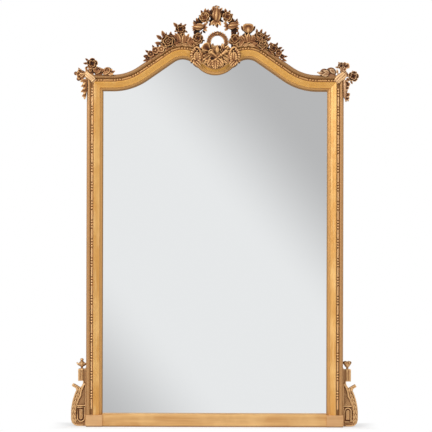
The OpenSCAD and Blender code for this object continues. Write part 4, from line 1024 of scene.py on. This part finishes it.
MITRE_X, MITRE_Z = 532, 1483
REED_RADII = (2.4, 4.2, 5, 5.4, 5.6, 5.4, 5, 4.2, 2.4)
LEFT_SPRAY = [
    # rosette over the corner, on a short leafy neck
    ("mound", -522, 1536, 0, 0, 1.8), ("blossom", -521, 1537, 2, 20, 1.04),
    ("leaf", -538, 1538, 2, 178, 0.56, 10), ("leaf", -536, 1548, 1, 142, 0.5, 8),
    ("leaf", -536, 1526, 1, 206, 0.5, 8), ("leaf", -506, 1526, 0, -38, 0.5, 8),
    ("leaf", -528, 1500, 2, 98, 0.8, 10), ("leaf", -516, 1502, 2, 72, 0.62, 10),
    ("leaf", -540, 1502, 2, 118, 0.56, 8), ("mound", -524, 1508, -4, 90, 1.6),
    # half-open flower at the side, its knobs hanging clear
    ("mound", -566, 1492, -3, 0, 1.9), ("petal", -566, 1494, 2, 128, 0.92, 10),
    ("petal", -568, 1490, 4, 160, 0.86, 14), ("petal", -566, 1486, 3, 196, 0.84, 12),
    ("petal", -564, 1484, 1, 232, 0.8, 10), ("posy", -566, 1490, 6, 30, 0.62),
    ("dome", -591, 1497, -7, 0, 1.7, 90), ("dome", -579, 1474, -7, 0, 1.9, 90),
    ("leaf", -572, 1504, 2, 112, 0.5, 10), ("leaf", -552, 1498, 2, 166, 0.56, 8),
    ("leaf", -548, 1486, 2, 196, 0.62, 8), ("lobe", -560, 1480, 2, 244, 1.0, 8),
    ("sliver", -546, 1492, 6, 172, 0.7, 6),
    # two clusters that run in along the rail
    ("mound", -494, 1504, -4, 0, 2.0), ("mound", -456, 1503, -5, 0, 2.2), ("posy", -495, 1511, 2, 10, 0.84),
    ("leaf", -502, 1500, 3, 136, 0.52, 10), ("leaf", -486, 1502, 2, 42, 0.56, 10),
    ("leaf", -508, 1496, 2, 30, 0.7, 8), ("posy", -458, 1510, 2, 36, 0.9),
    ("leaf", -470, 1502, 2, 128, 0.56, 10), ("leaf", -448, 1502, 1, 48, 0.5, 10),
    ("leaf", -442, 1501, 0, 18, 0.52, 8), ("leaf", -478, 1495, 3, 14, 0.76, 6),
    ("leaf", -458, 1495, 2, -4, 0.7, 6), ("sliver", -450, 1498, 2, 0, 0.6, 6),
]
RIGHT_SPRAY = [
    # fan-shaped flower on a slim neck
    ("mound", 540, 1528, -1, 0, 1.7), ("blossom", 533, 1531, 2, 24, 0.68),
    ("petal", 545, 1527, 5, 14, 1.0, 10), ("petal", 543, 1533, 5, 52, 0.66, 16),
    ("petal", 540, 1521, 4, -34, 0.7, 10), ("leaf", 530, 1532, 1, 118, 0.5, 8),
    ("leaf", 526, 1524, 1, 176, 0.5, 8), ("leaf", 544, 1502, 2, 84, 0.62, 10),
    ("leaf", 536, 1504, 2, 106, 0.6, 10), ("mound", 542, 1508, -4, 90, 1.4),
    # open flower at the side
    ("mound", 583, 1487, -1, 0, 2.0), ("blossom", 584.5, 1486, 2, 14, 1.0),
    ("knop", 582, 1496, 0, 96, 0.48), ("knop", 592, 1494, 0, 62, 0.46), ("leaf", 562, 1492, 2, 128, 0.5, 8),
    ("leaf", 552, 1488, 2, 6, 0.66, 8), ("leaf", 554, 1478, 2, -22, 0.66, 8),
    ("leaf", 572, 1470, 1, -62, 0.5, 8),
    # a humped leaf and its curl, running in along the rail
    ("mound", 490, 1503, -4, 0, 2.3), ("mound", 462, 1501, -5, 0, 2.0),
    ("leaf", 508, 1499, 3, 146, 0.78, 14), ("leaf", 500, 1503, 3, 120, 0.5, 12),
    ("petal", 494, 1500, 3, 96, 0.75, 18), ("leaf", 484, 1500, 3, 158, 0.7, 12),
    ("leaf", 470, 1499, 2, 136, 0.52, 10), ("leaf", 462, 1497, 1, 172, 0.76, 8),
    ("leaf", 480, 1494, 3, 186, 0.76, 6), ("leaf", 518, 1496, 3, 100, 0.56, 10),
    ("posy", 472, 1506, 1, 0, 0.62), ("leaf", 448, 1498, 0, 160, 0.5, 6),
]


def carve_ribbon(side, name, wide, finish):
    """Three reeds of ribbon drawn over the mitre and pinched at both ends."""
    def at(u, v, up):
        return side * MITRE_X + side * (u + v) * 0.707, MITRE_Z + (u - v) * 0.707, CARVE_H + up
    reeds = [put("mound", side * MITRE_X, MITRE_Z, CARVE_H - 5, 0, 2.0)]
    for i in (-1, 0, 1):
        path = []
        for k in range(9):
            u = -30 + 7.5 * k
            v = i * wide * (7.2 - 2.8 * (u / 30) ** 2) + (1.5 if i else 0) * math.sin(u / 9)
            path.append(at(u, v, 3.5 - 0.006 * u * u - abs(i)))
        reeds.append(rod(path, [r * wide for r in REED_RADII]))
    for u in (-21, 21):
        path = [at(u, v, 4 - abs(v) * 0.14) for v in (-12 * wide, -6, 0, 6, 12 * wide)]
        reeds.append(rod(path, [1.6, 2.4, 2.7, 2.4, 1.6], 8))
    carve(name + "_ribbon_carving", [name + "_corner_ribbon"], reeds, finish, 1.0)


def left_tail():
    """A serrated leaf down the outer moulding: sharp and round lobes by turns."""
    tail = [rod([(-549, 1472, CARVE_H), (-549, 1448, CARVE_H + 2), (-550, 1420, CARVE_H + 2),
                 (-551, 1400, CARVE_H + 1), (-553, 1386, CARVE_H)], [6.5, 7, 6.4, 5, 2], 8)]
    for k, size in enumerate((0.72, 0.66, 0.7, 0.6)):
        tail += spray(CARVE_H, [("leaf", -547, 1471 - 20 * k, 3, 204 + 5 * k, size, 14),
                                ("lobe", -549, 1462 - 20 * k, 4, 238 + 3 * k, 1.1 - 0.07 * k, 10)])
    return tail


def right_tail():
    """A leaf of round lobes down the outer moulding."""
    tail = [rod([(549, 1472, CARVE_H), (550, 1448, CARVE_H + 1), (550, 1424, CARVE_H + 1),
                 (551, 1402, CARVE_H), (555, 1384, CARVE_H)], [8, 9, 8.4, 8.6, 4], 8)]
    for x, z, turn, size in ((551, 1456, -24, 0.86), (551, 1444, -50, 0.74), (551, 1412, -22, 0.84),
                             (552, 1400, -50, 0.78)):
        tail += spray(CARVE_H, [("petal", x, z, 2, turn, size, 10), ("dome", x + 5, z - 3, 4, 0, 0.7, 90)])
    return tail + spray(CARVE_H, [("lobe", 551, 1430, 3, -36, 0.72, 8), ("lobe", 550, 1468, 3, -16, 0.8, 8),
                                  ("lobe", 556, 1392, 2, -50, 0.8, 8), ("lobe", 554, 1390, 2, -96, 0.7, 8)])


def carve_corners(finish, pale, ribbon):
    for (side, name), wide in zip(SIDES, (1.0, 1.3)):
        carve_ribbon(side, name, wide, ribbon)
    left = spray(CARVE_H, LEFT_SPRAY) + left_tail()
    right = spray(CARVE_H, RIGHT_SPRAY) + right_tail()
    carve("left_spray_carving", ["left_corner_spray"], left, finish)
    carve("right_spray_carving", ["right_corner_spray"], right, pale)


# ---- Brackets, drawn by distance out from the frame's side and height above the shelf ----

BODY = [(0, 1), (37, 1), (51, 4.8), (61.2, 15), (65, 29), (65, 55), (64.6, 68), (63.5, 81), (61.6, 94),
        (58.9, 107), (55.4, 120), (51.2, 133), (46.1, 146), (40.7, 158), (25, 163), (17, 174), (12, 186),
        (12, 243), (4, 245), (0, 255)]
RIM = [(12, 4.5), (36, 4.5), (49, 8), (57.8, 17), (61.4, 30), (61.4, 55), (61, 68), (59.8, 81), (57.9, 94),
       (55.2, 107), (51.7, 120), (47.5, 133), (42.4, 146), (36, 158)]
RAISED = RIM[1:] + [(24, 158), (29, 128), (38, 108), (45, 86), (47, 60), (47, 38), (42, 16)]
CLIMB = [(44, 20), (47, 38), (47, 60), (45, 80), (40.5, 97), (34, 114), (25, 130), (22, 150),
         (14, 168), (4, 183)]
CLIMB_RADII = [2.4, 3, 3.4, 4, 4.6, 4.8, 4.8, 4.8, 4.4, 2.8]
CLIMB_LEAVES = ((46, 12, 62, 0.6), (53, 26, 88, 0.72), (54, 46, 92, 0.78), (53.5, 66, 98, 0.76),
                (51, 85, 104, 0.72), (46.5, 103, 108, 0.68), (41, 120, 112, 0.62), (34, 136, 108, 0.58))
SWEEP = [(28, 161.5), (20, 166.5), (14.4, 174), (11.4, 184), (11.4, 193)]
BLOCK = [(12, 193), (35, 193), (35, 243), (12, 243)]


def plank(side, line, low, high):
    return board([(side * (FRAME_SIDE + u), z) for u, z in line], low, high)


def reed(side, line, out, radii, sides=8):
    return rod([(side * (FRAME_SIDE + u), z, out) for u, z in line], radii, sides)


def bracket_leaf(side, model, u, z, up, turn, size, lift):
    return spray(BRACKET_WEB, [(model, FRAME_SIDE + u, z, up, turn, size, lift)], side)


def bracket_body(side, hand):
    """Plate with a raised rim, the strand that climbs inside it, and leaves up the outer side."""
    web = BRACKET_WEB
    parts = [plank(side, BODY, 3.0, web), plank(side, RAISED, web - 2, web + 1.6),
             reed(side, RIM, web + 1.4, 3.2), reed(side, CLIMB, web + 2, CLIMB_RADII)]
    for u, z, turn, size in CLIMB_LEAVES:
        parts += bracket_leaf(side, "leaf", u, z, 0.5, turn + hand.uniform(-4, 4), size, 8)
        parts += bracket_leaf(side, "lobe", u - 2, z + 9, 1, turn + 38, 0.62 * size / 0.7, 8)
    return parts


def bracket_panel(side):
    """Sunk panel with a roll round it and a raised tablet, and the fillets beside it.

    Its round end is its foot on the left and its head on the right.
    """
    web, mid = BRACKET_WEB, PANEL_MID
    flat, curved = (PANEL_LOW, PANEL_HIGH) if side > 0 else (PANEL_HIGH, PANEL_LOW)
    start, tablet_end, r = (0, 30, 13.8) if side > 0 else (180, 72, 15.4)
    edge = flat + 2 * side
    loop = ([(mid, edge), (mid + side * r, edge)]
            + arc(mid, curved - 16.5 * side, r, start, start + 180, 10) + [(mid - side * r, edge)])
    loop.append(loop[0])
    tablet = ([(mid + side * 5.4, tablet_end)] + arc(mid, curved - 17 * side, 5.4, start, start + 180, 8)
              + [(mid - side * 5.4, tablet_end)])
    return [reed(side, loop, web + 2, 2.7), plank(side, tablet, web - 1, web + 3),
            reed(side, tablet, web + 3, 1.5, 6),
            reed(side, [(mid, 36), (mid, 50), (mid, 66)], web + 2.4, [1.8, 2.6, 1.8]),
            # fillet over the panel, and one up the side of the frame
            reed(side, [(1, 87.5), (18, 87.5), (42, 87.5)], web + 1.6, 3.4),
            reed(side, [(2.5, 4), (2.5, 60), (2.5, 120), (2.5, 180)], web + 1, 2.6)]


def punched_ground(hand):
    """Rows of small raised dots above the right bracket's panel."""
    marks = []
    for k in range(64):
        row, place = divmod(k, 7)
        u, z = 6 + 4.4 * place + hand.uniform(-1, 1), 95 + 5.2 * row + hand.uniform(-1, 1)
        if u < 40 - 0.42 * (z - 92):
            marks.append(put("dome", FRAME_SIDE + u, z, BRACKET_WEB - 0.6, 0, 0.42, 90))
    return marks


def bracket_nib(side):
    """A short bar of two reeds that points up and out over two lobes; the left one has a curl above it."""
    web = BRACKET_WEB
    a = math.radians(30)
    parts = []
    for v in (-2.6, 2.8):
        line = [(28 + u * math.cos(a) - v * math.sin(a), 158 + u * math.sin(a) + v * math.cos(a))
                for u in (-2, 8, 18, 26, 33)]
        parts.append(reed(side, line, web + 1, [2.4, 2.8, 3.0, 3.4, 3.0], 10))
        parts.append(reed(side, line, 18, [4, 4.4, 4.8, 5, 4.4], 10))
    if side < 0:
        parts.append(reed(side, [(52, 181), (55.5, 176), (58.5, 170)], web + 1, [3.6, 4.6, 3.4], 10))
    parts += bracket_leaf(side, "lobe", 34, 150, 2, 62, 1.0, 6.0)
    return parts + bracket_leaf(side, "lobe", 29, 146, 2, 96, 0.9, 6.0)


def bracket_block(side):
    """Block with two upright reeds and a thin one between, fillets across it, and the sweep below it."""
    web = BRACKET_WEB
    parts = [plank(side, BLOCK, 3.0, web + 1)]
    for u, r in ((30.6, 4.2), (24.2, 1.8), (18.4, 3.4)):
        parts.append(reed(side, [(u, 196.5), (u, 218), (u, 240)], web + 1.4, [r * 0.9, r, r * 0.9]))
    for z in (194.4, 241.6):
        parts.append(reed(side, [(12.6, z), (24, z), (34.4, z)], web + 1, 2.2))
    parts.append(reed(side, SWEEP, web, [3, 3.4, 3.4, 3, 2.6]))
    return parts


def carve_brackets(finish):
    for side, name in SIDES:
        hand = random.Random(40 + side)
        parts = bracket_body(side, hand) + bracket_panel(side)
        if side > 0:
            parts += punched_ground(hand)
        parts += bracket_nib(side) + bracket_block(side)
        carve(name + "_bracket_carving", [name + "_bracket"], parts, finish, 1.1)


BUD_FOOT = [(0, 7.6), (2.4, 7.8), (3.6, 4.4), (8, 4.6)]
BUD_OUT, BUD_Z, BUD_Y = 19.5, 242.8, 24


def rolled(model, x, size, rolls):
    return [put(model, x, 0, 0, 0, size, 0, roll) for roll in rolls]


def closed_bud():
    """A swelling body under pointed petals, closed by a knob."""
    keep("bud_petal", join([put("lobe", 13, 0, 5, 0, 1.2, 40)]))
    body = turned(BUD_FOOT + [(12, 9), (17, 12.6), (22, 14.4), (26, 13), (30, 9.4), (33, 6), (35.5, 5.8),
                              (38, 7.4), (41, 7.8), (43.5, 6.2), (45.4, 1.8)], 14)
    return join([body] + rolled("bud_petal", 0, 1, (0, 90, 180, 270))
                + rolled("bud_petal", 3, 0.8, (45, 135, 225, 315)))


def tulip():
    """A tulip, widest at its open mouth."""
    keep("tulip_petal", join([put("petal", 10, 0, 4, 0, 1.06, 7)]))
    body = turned(BUD_FOOT + [(12, 9), (17, 12.4), (22, 13.4), (27, 12), (30, 6), (31, 1)], 14)
    return join([body] + rolled("tulip_petal", 0, 1, (0, 72, 144, 216, 288)))


def carve_buds(finish):
    keep("closed_bud", closed_bud())
    keep("tulip", tulip())
    for (side, name), model in zip(SIDES, ("closed_bud", "tulip")):
        bud = put(model, side * (FRAME_SIDE + BUD_OUT), BUD_Z, BUD_Y, 90)
        carve(name + "_bud_carving", [name + "_bracket_bud"], [bud], finish, 0.9)


# ---- Studio ----

CAMERA_D = 9.0
CAMERA_ROLL = -0.15
VIEW_X, VIEW_Z = 0.0045, 0.894
PICTURE_PX, MM_PER_PX = 432, 4.235
VIEW_W = PICTURE_PX * MM_PER_PX * MM
SENSOR_W = 36.0
# how far the carving stands ahead of the wall, where the view is VIEW_W wide
FRONT = 0.06
MIRROR_MIDDLE = Vector((0, 0, 0.95))
KEY_PLACE, KEY_SIZE, KEY_WATTS = (-2.6, -3.0, 2.6), 1.1, 99
FILL_PLACE, FILL_SIZE, FILL_WATTS = (2.6, -3.2, 2.8), 1.4, 78
WORLD_LIGHT = 0.42
WHITE = (1, 1, 1, 1)


def add_camera():
    data = bpy.data.cameras.new("camera")
    data.sensor_width = SENSOR_W
    data.lens = SENSOR_W * (CAMERA_D - FRONT) / VIEW_W
    camera = bpy.data.objects.new("camera", data)
    bpy.context.collection.objects.link(camera)
    camera.location = (VIEW_X, -CAMERA_D, VIEW_Z)
    camera.rotation_euler = (math.radians(90), math.radians(CAMERA_ROLL), 0)
    bpy.context.scene.camera = camera


def area_lamp(name, place, size, power):
    """A square lamp, turned to the middle of the mirror."""
    data = bpy.data.lights.new(name, "AREA")
    data.shape, data.size = "SQUARE", size
    data.energy = power
    lamp = bpy.data.objects.new(name, data)
    bpy.context.collection.objects.link(lamp)
    lamp.location = place
    lamp.rotation_euler = (MIRROR_MIDDLE - Vector(place)).to_track_quat("-Z", "Y").to_euler()
    return lamp


def add_world():
    """Soft light all round, which the camera and the glass see as plain white."""
    world = bpy.data.worlds.new("world")
    bpy.context.scene.world = world
    nodes = Nodes(world)
    path = nodes.node("ShaderNodeLightPath", {}, {}).outputs
    dim = nodes.node("ShaderNodeBackground", {}, {"Color": WHITE, "Strength": WORLD_LIGHT})
    white = nodes.node("ShaderNodeBackground", {}, {"Color": WHITE, "Strength": 1.0})
    seen = nodes.node("ShaderNodeMath", {"operation": "MAXIMUM"},
                      {0: path["Is Camera Ray"], 1: path["Is Glossy Ray"]})
    mix = nodes.node("ShaderNodeMixShader", {},
                     {0: seen.outputs[0], 1: dim.outputs[0], 2: white.outputs[0]})
    nodes.node("ShaderNodeOutputWorld", {}, {"Surface": mix.outputs[0]})


def plane(name, size_x, size_y, rotation=(0, 0, 0)):
    """A flat sheet round the origin, on the ground or stood up."""
    put_down()
    bpy.ops.mesh.primitive_plane_add(size=1)
    sheet = bpy.context.object
    sheet.name = name
    sheet.scale = (size_x, size_y, 1)
    sheet.rotation_euler = rotation
    bpy.ops.object.transform_apply()
    return sheet


FLOOR_W, FLOOR_L = 2.6, 1.5
# the shadow on the floor shows this far from the middle, and fades over the next stretch, in millimetres
SHADOW_W, SHADOW_L, SHADOW_FADE = 600, 60, 110


def add_floor():
    """Pale floor: white to the camera but for the shadow that stays close round the mirror's foot."""
    floor = plane("floor", FLOOR_W, FLOOR_L)
    floor.location = (0, 0, -0.0005)
    f = Finish("floor_pale")
    lit = f.node("ShaderNodeBsdfDiffuse", {}, {"Color": srgb(246, 246, 246)})
    glow = f.node("ShaderNodeEmission", {}, {"Color": WHITE, "Strength": 1.0})
    away = (abs(f.x) - SHADOW_W).highest(abs(f.y) - SHADOW_L).highest(0)
    path = f.node("ShaderNodeLightPath", {}, {}).outputs
    seen = Num(f, path["Is Camera Ray"]) * (0.5 + 0.5 * away.between(0, SHADOW_FADE))
    seen = seen.highest(Num(f, path["Is Transmission Ray"]))
    mixed = f.node("ShaderNodeMixShader", {}, {0: seen, 1: lit.outputs[0], 2: glow.outputs[0]})
    floor.data.materials.append(f.end(mixed))
    floor.visible_glossy = False


# the glass reflects a pale wall behind the camera: a bright diagonal band, greyer on both sides
CARD_D, CARD_W = 4.0, 30
BAND_TILT = math.radians(49.6)
# the band's edges in the picture, and how far the grey takes to come on, in millimetres
BAND_HIGH, BAND_LOW, BAND_FADE = 45.0, -480.0, 480


def add_reflected_wall():
    card = plane("reflected_wall", CARD_W, CARD_W, (math.radians(90), 0, 0))
    card.location = (0, -CAMERA_D - CARD_D, VIEW_Z)
    f = Finish("reflected_wall")
    # a point of the glass at offset d from the camera's axis sees the wall at d times this
    reach = (2 * CAMERA_D + CARD_D) / CAMERA_D
    across = f.x / reach * math.sin(BAND_TILT) + f.z / reach * math.cos(BAND_TILT)
    above = across.between(BAND_HIGH, BAND_HIGH + BAND_FADE)
    grey = above.highest(across.between(BAND_LOW, BAND_LOW - BAND_FADE))
    colour = f.blend(grey, srgb(238, 239, 240), srgb(188, 188, 189))
    card.data.materials.append(f.end(f.node("ShaderNodeEmission", {}, {"Color": colour, "Strength": 1.0})))
    card.visible_camera = False
    card.visible_diffuse = False
    card.visible_shadow = False


def add_studio():
    add_world()
    add_floor()
    add_reflected_wall()
    area_lamp("key", KEY_PLACE, KEY_SIZE, KEY_WATTS)
    fill = area_lamp("fill", FILL_PLACE, FILL_SIZE, FILL_WATTS)
    fill.visible_glossy = False
    bpy.context.scene.view_settings.view_transform = "Standard"


finish_frame_nodes()
make_models()
carved = carved_finish("carved_gilding", srgb(236, 188, 128), srgb(148, 98, 58), -0.03)
pale = carved_finish("pale_gilding", srgb(234, 196, 150), srgb(160, 116, 80), 0.02)
ribbon = carved_finish("ribbon_gilding", srgb(234, 190, 138), srgb(196, 150, 104), 0.22)
shield = carved_finish("shield_gilding", srgb(232, 182, 120), srgb(162, 112, 68), 0.02)
bracket = carved_finish("bracket_gilding", srgb(220, 176, 122), srgb(174, 128, 82), 0.11, BRACKET_WEB)
carve_garlands(carved)
carve_crest_flowers(carved)
carve_corners(carved, pale, ribbon)
carve_shield(shield)
carve_ears(shield)
carve_trophy(shield)
carve_ring(carved)
carve_brackets(bracket)
carve_buds(bracket)
# these two carry no rank, so they take the ramp's darkest umber: painted shade behind the carving
dress(["cartouche_ground", "crest_arch"], carved)
for model in MODELS.values():
    bpy.data.objects.remove(model)
add_camera()
add_studio()
